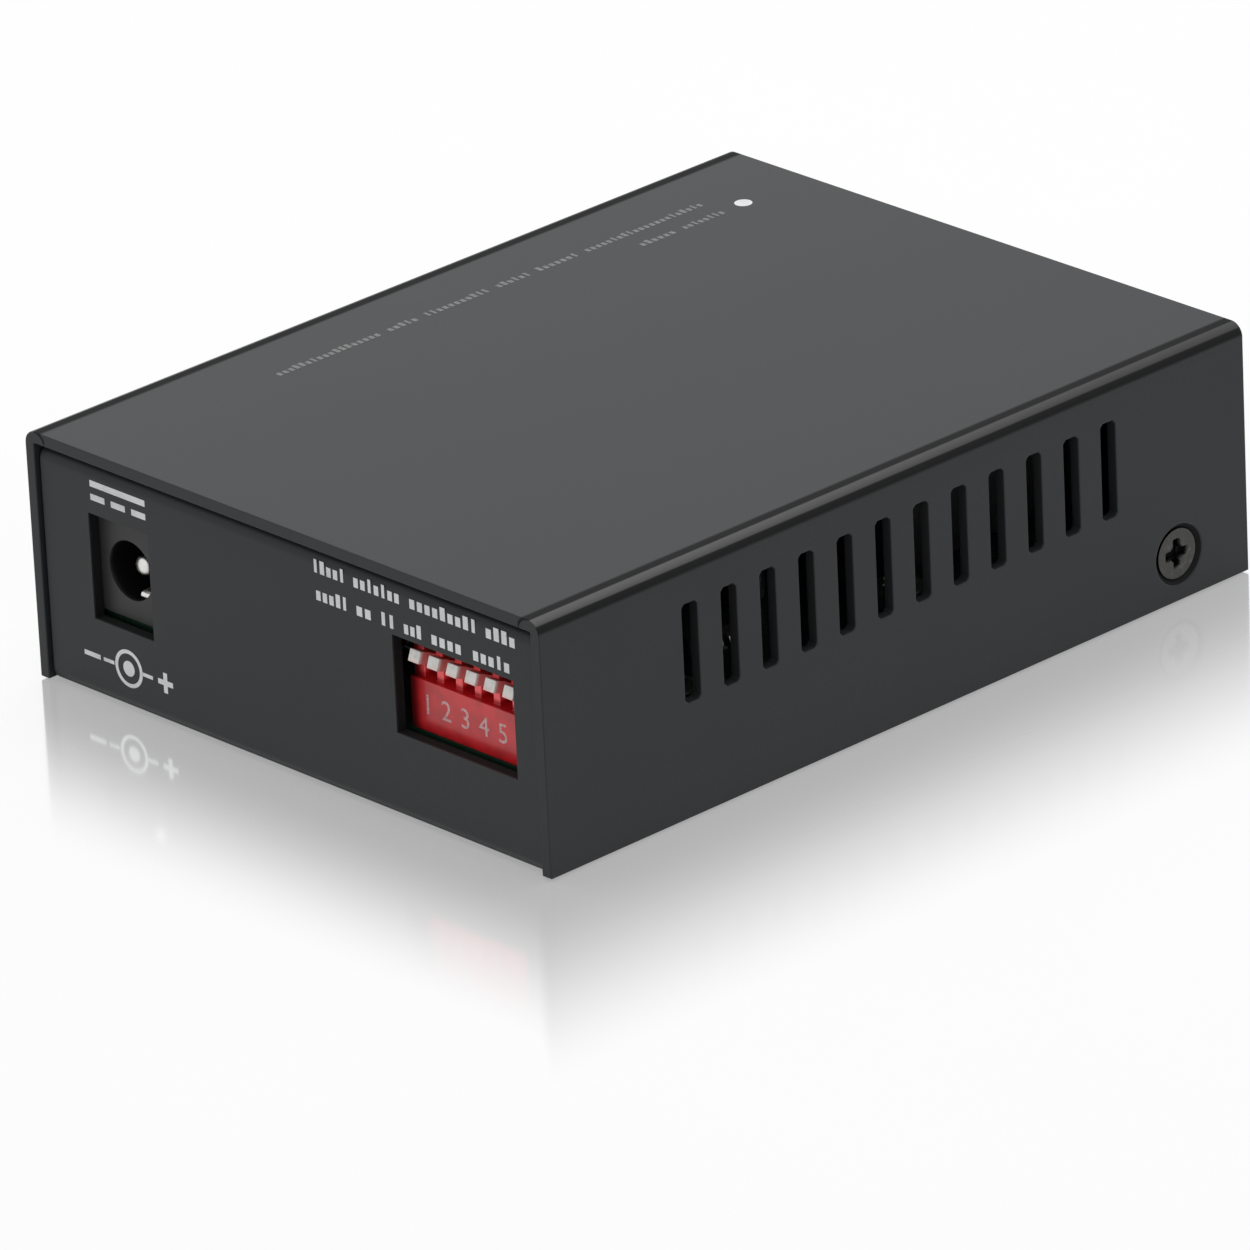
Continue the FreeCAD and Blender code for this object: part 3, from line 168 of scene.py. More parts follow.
class BoardSettings(bpy.types.PropertyGroup):
    mask: colour("Solder mask", "board's mask", (0.003, 0.018, 0.009))
    track: length("Track pitch", "Half the pitch of the copper tracks", 0.45)
    epoxy: colour("Chip epoxy", "moulded chips", (0.020, 0.020, 0.021))
    sleeve: colour("Can sleeve", "capacitors' shrunk sleeves", (0.012, 0.016, 0.05))
    stripe: colour("Can stripe", "stripe beside a can's short lead", (0.55, 0.56, 0.58))
    can: colour("Can top", "capacitors' bare metal", (0.72, 0.73, 0.74))
    ferrite: colour("Ferrite", "coil's drum", (0.075, 0.076, 0.08))
    # Painted shade: the darker colour in the coil drum's small pits.
    pits: colour("Ferrite pits", "small pits in the coil's drum", (0.020, 0.020, 0.021))
    copper: colour("Winding", "coil's enamelled wire", (0.45, 0.13, 0.04))
    tin: colour("Solder", "solder and the tinned leads", (0.66, 0.67, 0.68))
    zinc: colour("Zinc plate", "plated posts, nuts and screws", (0.60, 0.60, 0.57))


class StageSettings(bpy.types.PropertyGroup):
    azimuth: rotation("Azimuth", "Camera's turn about +Z, from the front", 227.13)
    elevation: rotation("Elevation", "Camera's height over the floor", 23.75)
    roll: rotation("Roll", "Camera's turn about its own line of sight", -2.74)
    aim: place("Aim", "The point that the camera looks at", (-0.0201, 0.0219, 0.0130))
    distance: length("Distance", "From the camera to the point that it looks at", 1173.1)
    lens: FloatProperty(name="Lens", description="Focal length on a 36 mm sensor",
                        default=360.0, min=1.0, subtype="DISTANCE_CAMERA")
    softbox: FloatProperty(name="Softbox", description="Power of the large lamp overhead",
                           default=5.0, min=0.0, subtype="POWER", unit="POWER")
    softbox_side: length("Softbox side", "Side of the large square lamp", 700.0)
    softbox_place: place("Softbox place", "Middle of the lamp", (0.05, -0.10, 0.75))
    fill: FloatProperty(name="Fill", description="Strength of the light from all round",
                        default=0.55, min=0.0)
    floor: share("Floor", "Brightness of the floor's own colour", 0.79)
    mirror: share("Floor reflection", "How much the floor mirrors right beside the case", 0.50)
    mirror_start: length("Reflection start", "Where the reflection begins to fade", 4.0)
    mirror_reach: length("Reflection reach", "Where the floor's reflection has faded out", 34.0)


GROUPS = {
    "case": CaseSettings,
    "print": PrintSettings,
    "switch": SwitchSettings,
    "inlet": InletSettings,
    "ports": PortSettings,
    "board": BoardSettings,
    "stage": StageSettings,
}


def settings(name):
    """The user's sizes and colours for one group of pieces."""
    return getattr(bpy.context.scene, "converter_" + name)


def middle(node):
    """The point halfway between the corners of a node's box."""
    low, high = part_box(node)
    return (low + high) / 2


# Shader graphs


def both_ways(operation):
    """Two methods that put a Math node on a value and another, and on the other and it."""
    return (lambda value, other: value.math(operation, value, other),
            lambda value, other: value.math(operation, other, value))


class Value:
    """A shader socket that Python's own operators work on."""

    def __init__(self, graph, socket):
        self.graph = graph
        self.socket = socket

    def math(self, operation, *values):
        """A Math node on the given values, or on this one alone."""
        return self.graph.add("ShaderNodeMath", {"operation": operation},
                              dict(enumerate(values or (self,))))

    def __abs__(self):
        return self.math("ABSOLUTE")

    __add__, __radd__ = both_ways("ADD")
    __sub__, __rsub__ = both_ways("SUBTRACT")
    __mul__, __rmul__ = both_ways("MULTIPLY")
    __gt__, __lt__ = both_ways("GREATER_THAN")
    __pow__, __rpow__ = both_ways("POWER")


def greater(first, second):
    """The greater of two values at each point; the first comes from a graph."""
    return first.math("MAXIMUM", first, second)


def lesser(first, second):
    """The lesser of two values at each point; the first comes from a graph."""
    return first.math("MINIMUM", first, second)


class Graph:
    """The node tree of one material or of the world."""

    def __init__(self, owner):
        owner.use_nodes = True
        self.tree = owner.node_tree
        self.tree.nodes.clear()

    def add(self, kind, choices=None, inputs=None, output=0):
        """Make a node: its choices first, then its sockets' values or links."""
        node = self.tree.nodes.new(kind)
        for name, value in (choices or {}).items():
            setattr(node, name, value)
        for key, value in (inputs or {}).items():
            if isinstance(value, Value):
                self.tree.links.new(value.socket, node.inputs[key])
            elif node.inputs[key].type == "RGBA" and len(value) == 3:
                node.inputs[key].default_value = (*value, 1.0)
            else:
                node.inputs[key].default_value = value
        return Value(self, node.outputs[output]) if len(node.outputs) else node

    def place(self, axis=None):
        """Object coordinates, whole or along one axis, in metres."""
        whole = self.add("ShaderNodeTexCoord", output="Object")
        if axis is None:
            return whole
        return self.add("ShaderNodeSeparateXYZ", inputs={0: whole}, output=axis.upper())

    def noise(self, size, detail=2.0, roughness=0.5, stretch=(1.0, 1.0, 1.0)):
        """Soft random values from 0 to 1, whose patches are about a size across."""
        scale = tuple(part / size for part in stretch)
        at = self.add("ShaderNodeMapping", inputs={"Vector": self.place(), "Scale": scale})
        return self.add("ShaderNodeTexNoise", inputs={
            "Vector": at, "Scale": 1.0, "Detail": detail, "Roughness": roughness})

    def cells(self, size, output="Distance", distance="EUCLIDEAN"):
        """Random cells about a size across."""
        return self.add("ShaderNodeTexVoronoi", {"distance": distance}, {
            "Vector": self.place(), "Scale": 1.0 / size}, output)

    def ramp(self, value, low, high, start=0.0, end=1.0):
        """A value carried smoothly from one range to another and held at its ends."""
        return self.add("ShaderNodeMapRange", {"interpolation_type": "SMOOTHSTEP"}, {
            "Value": value, 1: low, 2: high, 3: start, 4: end})

    def mix(self, factor, first, second):
        """Two colours mixed by a factor."""
        return self.add("ShaderNodeMix", {"data_type": "RGBA"}, {
            0: factor, 6: first, 7: second}, 2)

    def shades(self, factor, tone, low, high=1.0):
        """Two shades of one colour mixed by a factor."""
        return self.mix(factor, shaded(tone, low), shaded(tone, high))

    def bump(self, height, distance, strength=1.0):
        """A surface normal bent by a height, which is worth a distance at 1."""
        return self.add("ShaderNodeBump", inputs={
            "Height": height, "Distance": distance, "Strength": strength})

    def surface(self, tint, roughness, **sockets):
        """The one shader of a plain surface, from its colour, roughness and other sockets."""
        named = {key.replace("_", " "): value for key, value in sockets.items()}
        shader = self.add("ShaderNodeBsdfPrincipled", inputs={
            "Base Color": tint, "Roughness": roughness, **named})
        self.add("ShaderNodeOutputMaterial", inputs={"Surface": shader})


def shaded(tone, factor):
    """A colour made lighter or darker by a factor, in plain numbers."""
    return tuple(min(1.0, channel * factor) for channel in tone)


# Finishes


def from_fold(graph):
    """How far a point of the sheet's outer face lies from a fold's crest, along x or z.

    The crest is a little nearer to the top than to the side. Points inside the sheet's
    thickness, and far from either fold, get a metre or more.
    """
    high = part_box("top_cover")[1]
    fold = settings("case").fold
    crest, inside, reach = 0.4 * fold, 0.94 * fold, -2.0 * fold
    aside, below = abs(graph.place("x")) - high.x, graph.place("z") - high.z
    from_centre = ((aside + fold) * (aside + fold) + (below + fold) * (below + fold)) ** 0.5
    away = abs(aside - below + crest)
    return away + (aside < reach) + (below < reach) + (from_centre < inside)


def coat(graph, dark, rubbed=None):
    """Satin black coat of fine pebbles and clouding, darker with painted shade and paler with a
    painted highlight.
    """
    case = settings("case")
    pebbles = graph.noise(case.grain, 3.0, 0.55)
    clouds = graph.noise(18 * MM, 3.0, 0.6)
    tint = graph.shades(graph.ramp(clouds, 0.3, 0.7), case.coat, 0.90, 1.10)
    tint = graph.mix(graph.ramp(pebbles, 0.35, 0.75), shaded(case.coat, 0.92), tint)
    # Painted shade: where dark is 1, the coat keeps a fifth of its colour.
    tint = graph.mix(dark, tint, shaded(case.coat, 0.20))
    roughness = case.coat_roughness - 0.03 + 0.05 * clouds + 0.04 * pebbles + 0.45 * dark
    if rubbed is not None:
        # Painted highlight along the folds' crests; the lower roughness there is a real polish.
        tint = graph.mix(rubbed, tint, (case.fold_line,) * 3)
        roughness = roughness - 0.50 * rubbed
    graph.surface(tint, roughness, Specular_IOR_Level=case.gloss,
                  Normal=graph.bump(pebbles, 0.010 * MM, 0.6))


def tray_coat(graph):
    """The tray's coat, with painted shade that makes it near black on the punched walls of the
    windows in its rear panel.
    """
    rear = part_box("base_tray")[1].y
    low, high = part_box("power_inlet_body")
    margin, panel = 1.5 * MM, 1.4 * MM
    along, up = graph.place("y"), graph.place("z")
    # Painted shade on the windows' punched walls, from just inside the panel's face.
    depth = graph.ramp(along, rear - 0.12 * MM, rear - 0.26 * MM)
    in_panel = (along > rear - panel) * (up > low.z - margin) * (up < high.z + margin)
    coat(graph, dark=depth * in_panel)


def cover_coat(graph):
    """The cover's coat: a painted highlight along the folds' crests, and painted shade beside them
    and round the screws.
    """
    case = settings("case")
    away = from_fold(graph)
    # Painted shade in a band along each fold, under the crest's painted highlight.
    full = graph.ramp(away, case.fold * 1.4, case.fold * 1.05)
    # Painted highlight on the fold's crest itself.
    rubbed = graph.ramp(away, case.fold * 0.56, case.fold * 0.36)
    screw = middle("cover_screws")
    aside, up = graph.place("y") - screw.y, graph.place("z") - screw.z
    # Painted shade in the countersink round each cover screw.
    recess_shade = (aside * aside + up * up) ** 0.5 < case.screw_ring
    front, rear = (corner.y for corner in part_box("top_cover"))
    # The painted highlight is full at the rear and falls to 0.6 at the front.
    worn = graph.ramp(graph.place("y"), front, rear, 0.6, 1.0)
    coat(graph, dark=greater(full, recess_shade), rubbed=rubbed * worn)


def printed(graph, tone, worn, specks, thin, roughness):
    """Screen-printed ink that thins to a darker shade where it is worn, with fine specks."""
    graph.surface(graph.shades(worn, tone, thin), roughness,
                  Normal=graph.bump(specks, 0.004 * MM))


def ink(graph):
    """White ink, thinner in specks and at places rubbed by handling."""
    specks = graph.noise(0.09 * MM)
    worn = graph.ramp(specks * 0.6 + graph.noise(3.0 * MM) * 0.4, 0.30, 0.52)
    printed(graph, settings("print").ink, worn, specks, 0.62, 0.62 - 0.1 * specks)


def faint_ink(graph):
    """The fine grey print on the top, half lost in the coat's grain."""
    specks = graph.noise(0.14 * MM)
    worn = graph.ramp(specks, 0.35, 0.6)
    printed(graph, settings("print").faint_ink, worn, specks, 0.45, 0.6 - 0.08 * specks)


def digit_ink(graph):
    """Pale ink on the red housing, worn thin."""
    specks = graph.noise(0.25 * MM, 3.0)
    worn = graph.ramp(specks, 0.35, 0.6)
    printed(graph, settings("switch").digit_ink, worn, specks, 0.6, 0.5 - 0.1 * specks)


def inlet_nylon(graph):
    """Moulded nylon, with painted shade that makes it near black down in the bore."""
    tone = settings("inlet").plastic
    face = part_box("power_inlet_body")[1].y
    # 1 on the open face, falling to 0 down in the bore, where painted shade makes the nylon near
    # black.
    clear_of_bore_shade = graph.ramp(graph.place("y"), face - 0.5 * MM, face - 0.05 * MM)
    etched = graph.noise(0.16 * MM, 2.0, 0.6)
    pale = graph.shades(etched, tone, 0.85, 1.15)
    graph.surface(graph.mix(clear_of_bore_shade, shaded(tone, 0.10), pale),
                  0.40 + 0.08 * etched, Specular_IOR_Level=0.3,
                  Normal=graph.bump(etched, 0.006 * MM, 0.7))


def port_plastic(graph):
    """Moulded plastic: a fine etched grain, slow clouding and faint flow lines."""
    tone = settings("ports").plastic
    etched = graph.noise(0.14 * MM, 2.0, 0.6)
    flow = graph.noise(2.6 * MM, stretch=(1.0, 1.0, 0.35))
    tint = graph.shades(graph.ramp(flow, 0.3, 0.7), tone, 0.90, 1.10)
    graph.surface(tint, 0.38 + 0.08 * etched, Normal=graph.bump(etched, 0.006 * MM, 0.7))


def switch_red(graph):
    """Glossy red housing, with a painted glow round the levers and a painted shadow at the end
    behind the panel's edge.
    """
    switch = settings("switch")
    clouds = graph.ramp(graph.noise(1.8 * MM), 0.3, 0.7)
    tint = graph.shades(clouds, switch.housing, 0.82, 1.1)
    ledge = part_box("circuit_board")[1].z + SWITCH_LEDGE
    # Painted glow: above the ledge, round the levers, the housing takes a lit colour.
    glow = graph.ramp(graph.place("z"), ledge + 0.25 * MM, ledge + 0.7 * MM)
    tint = graph.mix(glow, tint, switch.glow)
    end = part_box("switch_body")[1].x
    # Painted shadow of the panel's edge on the housing's far end.
    panel_shadow = graph.ramp(graph.place("x"), end - 1.7 * MM, end - 0.3 * MM)
    tint = graph.mix(panel_shadow, tint, shaded(switch.housing, 0.15))
    etched = graph.noise(0.10 * MM)
    graph.surface(tint, 0.28 + 0.08 * etched, Coat_Weight=0.25,
                  Normal=graph.bump(etched, 0.003 * MM, 0.6))


def lever_white(graph):
    """Ivory white levers, greyed by handling, with a painted red reflection of the housing below
    the tips.
    """
    switch = settings("switch")
    axle = middle("switch_axle")
    back, up = graph.place("y") - axle.y, graph.place("z") - axle.z
    reach = (back * back + up * up) ** 0.5
    # The tip stays white; below it, a painted red reflection of the housing.
    tip = graph.ramp(reach, 6.5 * MM, 6.95 * MM) * graph.ramp(up, 1.6 * MM, 2.3 * MM, 0.45)
    grime = graph.ramp(graph.noise(0.8 * MM, 3.0), 0.45, 0.8)
    tint = graph.shades(grime, switch.lever, 1.0, 0.80)
    tint = graph.mix(1.0 - tip, tint, switch.lever_root)
    etched = graph.noise(0.10 * MM)
    graph.surface(tint, 0.34 + 0.1 * etched, Normal=graph.bump(etched, 0.003 * MM, 0.6))


def metal(graph, group, tone, roughness, stain=0.12, grain=0.08 * MM, drawn=(1.0, 1.0, 1.0)):
    """Plated metal: fine drawn lines along one way and faint cloudy stains."""
    plate = getattr(settings(group), tone)
    lines = graph.noise(grain, 3.0, 0.6, stretch=drawn)
    clouds = graph.noise(2.2 * MM, 3.0)
    tint = graph.shades(graph.ramp(clouds, 0.35, 0.75), plate, 1.0, 1.0 - stain)
    graph.surface(tint, roughness + 0.12 * clouds, Metallic=1.0,
                  Normal=graph.bump(lines, 0.0035 * MM, 0.6))


def black_zinc(graph):
    """Dark screw steel: a brown-black plate, rubbed brighter on the face, with painted shade that
    makes it black below the face.
    """
    case = settings("case")
    rub = graph.ramp(graph.noise(0.5 * MM, 3.0), 0.5, 0.8)
    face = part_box("cover_screws")[1].x + case.screw_rise
    # Painted shade: black in the cross recess, below the head's face.
    recess_shade = graph.ramp(abs(graph.place("x")), face - 0.08 * MM, face - 0.4 * MM)
    tint = graph.mix(recess_shade, graph.mix(rub, case.screw, case.screw_rub), (0.004, 0.004, 0.004))
    graph.surface(tint, 0.40 - 0.1 * rub, Metallic=0.75, Specular_IOR_Level=0.3,
                  Normal=graph.bump(graph.noise(0.06 * MM), 0.003 * MM, 0.6))


def ceramic(graph):
    """Polished zirconia with a faint milky clouding."""
    milk = graph.noise(0.9 * MM)
    tint = graph.shades(milk, settings("ports").ceramic, 0.9)
    graph.surface(tint, 0.16 + 0.08 * milk)


def lamp_lens(graph):
    """Tinted lens with a faint haze, and painted shade behind its front face."""
    tone = settings("ports").lamp
    haze = graph.noise(1.6 * MM, 1.0)
    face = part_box("status_lights")[0].y
    # Painted shade: the lens darker behind its front face.
    depth = graph.ramp(graph.place("y"), face, face + 0.6 * MM)
    tint = graph.shades(haze, tone, 0.85, 1.1)
    graph.surface(graph.mix(depth, tint, shaded(tone, 0.35)), 0.22 + 0.06 * haze, Coat_Weight=0.4)


def board_mask(graph):
    """Green mask over copper: runs of tracks that turn square corners, and cloudy glass weave."""
    board = settings("board")
    patch = graph.cells(8 * MM, "Color", "CHEBYCHEV")
    choice = graph.add("ShaderNodeSeparateColor", inputs={0: patch}, output="Red")
    across, along = graph.place("x"), graph.place("y")
    line = across + (along - across) * (choice > 0.5)
    track = line.math("PINGPONG", line, board.track)
    copper = graph.ramp(track, 0.16 * MM, 0.22 * MM) * (choice > 0.22)
    weave = graph.noise(0.35 * MM, 1.0)
    tint = graph.shades(copper, board.mask, 0.72, 1.45)
    tint = graph.mix(graph.ramp(weave, 0.2, 0.9, 0.0, 0.35), tint, shaded(board.mask, 0.5))
    graph.surface(tint, 0.34 + 0.1 * weave, Normal=graph.bump(copper, 0.03 * MM, 0.8))


def chip_epoxy(graph):
    """Matt moulded epoxy with a sandy, ground surface."""
    sand = graph.noise(0.06 * MM, 2.0, 0.7)
    tint = graph.shades(sand, settings("board").epoxy, 0.7, 1.4)
    graph.surface(tint, 0.55 + 0.15 * sand, Normal=graph.bump(sand, 0.008 * MM))


def ferrite(graph):
    """Sintered grey ferrite with small pits, darker in them with painted shade."""
    board = settings("board")
    height = graph.ramp(graph.cells(0.35 * MM), 0.05, 0.3)
    # Painted shade: the pits take the darker colour.
    tint = graph.mix(height, board.pits, board.ferrite)
    graph.surface(tint, 0.6, Normal=graph.bump(height, 0.02 * MM))


def can_sleeve(graph):
    """Shrunk sleeve: glossy and dark, with a pale stripe down the side of the short lead."""
    board = settings("board")
    stripe = graph.place("x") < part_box("filter_capacitors")[0].x + 0.45 * MM
    film = graph.noise(0.8 * MM)
    tint = graph.shades(film, board.sleeve, 0.8, 1.25)
    graph.surface(graph.mix(stripe, tint, board.stripe),
                  0.22 + 0.1 * film, Normal=graph.bump(film, 0.01 * MM))


def enamelled_wire(graph):
    """Copper under clear enamel."""
    streak = graph.noise(0.5 * MM)
    tint = graph.shades(streak, settings("board").copper, 0.75, 1.2)
    graph.surface(tint, 0.2 + 0.15 * streak, Metallic=0.8, Coat_Weight=0.5)


FINISHES = {maker.__name__: maker for maker in (
    cover_coat, tray_coat, ink, faint_ink, digit_ink, inlet_nylon, port_plastic, switch_red,
    lever_white, black_zinc, ceramic, lamp_lens, board_mask, chip_epoxy, ferrite, can_sleeve,
    enamelled_wire,
)}
FINISHES.update({
    "contact_nickel": partial(metal, group="inlet", tone="metal", roughness=0.26),
    "contact_gold": partial(metal, group="ports", tone="gold", roughness=0.15, stain=0.06),
    "shell_tin": partial(metal, group="ports", tone="shell", roughness=0.24,
                         drawn=(1.0, 0.08, 1.0)),
    "zinc_plate": partial(metal, group="board", tone="zinc", roughness=0.26, stain=0.20),
    "can_top": partial(metal, group="board", tone="can", roughness=0.30, stain=0.08),
    "solder": partial(metal, group="board", tone="tin", roughness=0.22, stain=0.18,
                      grain=0.2 * MM),
})


def finish(name):
    """The material for a finish, made when it is first asked for."""
    title = name + "_finish"
    made = bpy.data.materials.get(title)
    if made is None:
        made = bpy.data.materials.new(title)
        FINISHES[name](Graph(made))
    return made


# Surfaces as whole arrays of points. Each maker gives (points, faces)

# Turns, whose rows say where a shape's x, y and z point
LEVEL = np.eye(3)
REAR = np.array([[-1, 0, 0], [0, 0, 1], [0, 1, 0]], float)
FRONT = np.array([[1, 0, 0], [0, 0, 1], [0, -1, 0]], float)


def about_z(degrees):
    """The turn that swings a shape about +Z."""
    angle = radians(degrees)
    return np.array([[cos(angle), sin(angle), 0], [-sin(angle), cos(angle), 0], [0, 0, 1]])


def quads(rows, columns, closed=True):
    """Faces of a grid, row by row; a closed grid's last column meets its first."""
    down, across = np.meshgrid(np.arange(rows - 1), np.arange(columns - (not closed)),
                               indexing="ij")
    beside = (across + 1) % columns
    corners = [down * columns + across, down * columns + beside,
               (down + 1) * columns + beside, (down + 1) * columns + across]
    return np.stack(corners, axis=-1).reshape(-1, 4).tolist()


def turned(profile, steps):
    """A profile (r, h) turned about +Z: x = r cos a, y = r sin a, z = h, with a once round."""
    radius, height = np.asarray(profile, float).T[:, :, None]
    angle = np.arange(steps) * 2 * pi / steps
    points = np.stack(np.broadcast_arrays(radius * np.cos(angle), radius * np.sin(angle), height),
                      axis=-1)
    return points.reshape(-1, 3), quads(len(radius), steps)


def carried(profile, path, side):
    """A closed profile carried along a flat path: point = path + a side + b (side x travel)."""
    path = np.asarray(path, float)
    side = np.asarray(side, float)
    travel = np.gradient(path, axis=0)
    travel /= np.linalg.norm(travel, axis=1)[:, None]
    across, up = np.asarray(profile, float).T
    normal = np.cross(side, travel)
    points = path[:, None] + across[None, :, None] * side + up[None, :, None] * normal[:, None]
    count = len(across)
    last = (len(path) - 1) * count
    caps = [list(range(count))[::-1], list(range(last, last + count))]
    return points.reshape(-1, 3), quads(len(path), count) + caps


def slab(outline, thickness):
    """A flat outline in x and y carried from z = 0 up to a thickness."""
    flat = np.asarray(outline, float)
    count = len(flat)
    low = np.column_stack([flat, np.zeros(count)])
    caps = [list(range(count))[::-1], list(range(count, 2 * count))]
    return np.concatenate([low, low + [0, 0, thickness]]), quads(2, count) + caps


def quarter_round(radius, height, across, up, steps):
    """Profile of a rounded end: a quarter ellipse from the full radius to the full height."""
    angle = np.linspace(0, pi / 2, steps)
    return np.column_stack([radius - across + across * np.cos(angle),
                            height - up + up * np.sin(angle)])


def rectangle(width, height, x=0.0, y=0.0):
    """Corners of a rectangle centred on x, y."""
    return np.array([[-1, -1], [1, -1], [1, 1], [-1, 1]]) * [width / 2, height / 2] + [x, y]


def plus(size, width, x=0.0, y=0.0):
    """Corners of an upright cross centred on x, y."""
    long, short = size / 2, width / 2
    arm = [(short, short), (short, long), (-short, long)]
    quarter_turns = [(1, 0, 0, 1), (0, -1, 1, 0), (-1, 0, 0, -1), (0, 1, -1, 0)]
    return np.array([(a * u + b * v + x, c * u + d * v + y)
                     for a, b, c, d in quarter_turns for u, v in arm])


def disc(radius, thickness):
    """A flat round plate: a rectangular section turned about +Z."""
    return turned([(0, 0), (radius, 0), (radius, thickness), (0, thickness)], 32)


def ring(outer, inner, thickness):
    """A flat washer: a rectangular section turned about +Z."""
    section = [(inner, 0), (outer, 0), (outer, thickness), (inner, thickness), (inner, 0)]
    return turned(section, 48)


def set_at(shape, at, turn=LEVEL):
    """A shape turned by rows that say where its x, y and z point, and moved to a place."""
    points, faces = shape
    return points @ turn + np.asarray(at, float), faces


def repeated(shape, places):
    """The same shape at each place, as one set of points and faces."""
    points, faces = shape
    places = np.asarray(places, float)
    spread = (places[:, None] + points[None]).reshape(-1, 3)
    shifted = [[corner + copy * len(points) for corner in face]
               for copy in range(len(places)) for face in faces]
    return spread, shifted


def joined(shapes):
    """Several sets of points and faces as one."""
    sizes = [len(points) for points, _ in shapes]
    starts = np.concatenate([[0], np.cumsum(sizes)[:-1]])
    faces = [[int(start) + corner for corner in face]
             for start, (_, part) in zip(starts, shapes) for face in part]
    return np.concatenate([points for points, _ in shapes]), faces


def rounded_path(corners, radius, steps=5):
    """Straight runs joined by curves: each corner gives way to a quadratic blend a radius long."""
    corners = np.asarray(corners, float)
    blend = np.linspace(0, 1, steps)[:, None]
    pieces = [corners[:1]]
    for before, corner, after in zip(corners, corners[1:], corners[2:]):
        start = corner + (before - corner) / np.linalg.norm(before - corner) * radius
        end = corner + (after - corner) / np.linalg.norm(after - corner) * radius
        pieces.append(start * (1 - blend) ** 2 + corner * 2 * blend * (1 - blend)
                      + end * blend ** 2)
    return np.concatenate(pieces + [corners[-1:]])


# Objects


def ease_edges(piece, width):
    """Bevel the sharp edges, with normals that keep the flats looking flat."""
    bevel = piece.modifiers.new("Eased edges", "BEVEL")
    bevel.width = width
    bevel.segments = 2
    bevel.limit_method = "ANGLE"
    bevel.angle_limit = radians(32)
    bevel.harden_normals = True


def put(mesh, name, body, width=0.0, replaced=()):
    """An object for a mesh: it rides a body and may stand for CAD nodes."""
    piece = bpy.data.objects.new(name, mesh)
    bpy.context.scene.collection.objects.link(piece)
    if width > 0:
        ease_edges(piece, width)
    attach(piece, body)
    if replaced:
        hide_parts(*replaced)
    return piece


def settle(work, mesh):
    """Write a bmesh out with smooth faces, kept apart at its sharp edges."""
    work.to_mesh(mesh)
    work.free()
    mesh.shade_smooth()
    mesh.set_sharp_from_angle(angle=radians(SHARP))


def build(name, parts, body="base", width=0.0, replaced=()):
    """One object from shapes, each with the name of its finish. Normals are turned outwards."""
    finishes = list(dict.fromkeys(finish_name for _, finish_name in parts))
    points, faces = joined([shape for shape, _ in parts])
    mesh = bpy.data.meshes.new(name)
    mesh.from_pydata(points, [], faces)
    for finish_name in finishes:
        mesh.materials.append(finish(finish_name))
    wearing = np.concatenate([
        np.full(len(part_faces), finishes.index(finish_name))
        for (_, part_faces), finish_name in parts])
    mesh.polygons.foreach_set("material_index", wearing)
    work = bmesh.new()
    work.from_mesh(mesh)
    bmesh.ops.remove_doubles(work, verts=work.verts, dist=1e-7)
    bmesh.ops.recalc_face_normals(work, faces=work.faces)
    settle(work, mesh)
    return put(mesh, name, body, width, replaced)


def eased(node, finish_name, width, body="base"):
    """A node's own shape with its triangles merged into flats and its sharp edges eased."""
    work = bmesh.new()
    work.from_mesh(NODES[node].data)
    bmesh.ops.remove_doubles(work, verts=work.verts, dist=2e-6)
    bmesh.ops.dissolve_limit(work, angle_limit=radians(1), verts=work.verts, edges=work.edges)
    mesh = bpy.data.meshes.new(node + "_eased")
    settle(work, mesh)
    old = mesh.attributes.get("custom_normal")
    if old is not None:
        mesh.attributes.remove(old)
    mesh.materials.clear()
    mesh.materials.append(finish(finish_name))
    return put(mesh, node + "_eased", body, width, [node])


def dress(node, finish_name):
    """Give a CAD node that keeps its own mesh a finish."""
    for wearing in NODES[node].material_slots:
        wearing.material = finish(finish_name)


# Operators, one for each piece or group of like pieces


class DressCase(bpy.types.Operator):
    """Ease the sheet's cut edges on the cover and the tray, and coat both."""

    bl_idname = "converter.dress_case"
    bl_label = "Case"

    def execute(self, context):
        width = settings("case").edge
        eased("top_cover", "cover_coat", width)
        eased("base_tray", "tray_coat", width)
        return {"FINISHED"}


def word_blocks(spans, base, height, seed):
    """Print as plain blocks: each span is filled with upright bars of slightly uneven size.

    A bar takes about 0.74 of the letter height along the row. One in five is narrow, and one
    in three has the full height.
    """
    random = np.random.default_rng(seed)
    blocks = []
    for start, end in spans:
        count = max(1, round((end - start) / (height * 0.74)))
        edges = np.linspace(start, end, count + 1)
        pitch = edges[1] - edges[0]
        for left, chance in zip(edges, random.random(count)):
            narrow = 0.42 if chance < 0.2 else 0.66
            tall = height * (1.0 if chance < 0.34 else 0.72)
            blocks.append(rectangle(pitch * narrow, tall, left + pitch / 2, base + tall / 2))
    return blocks


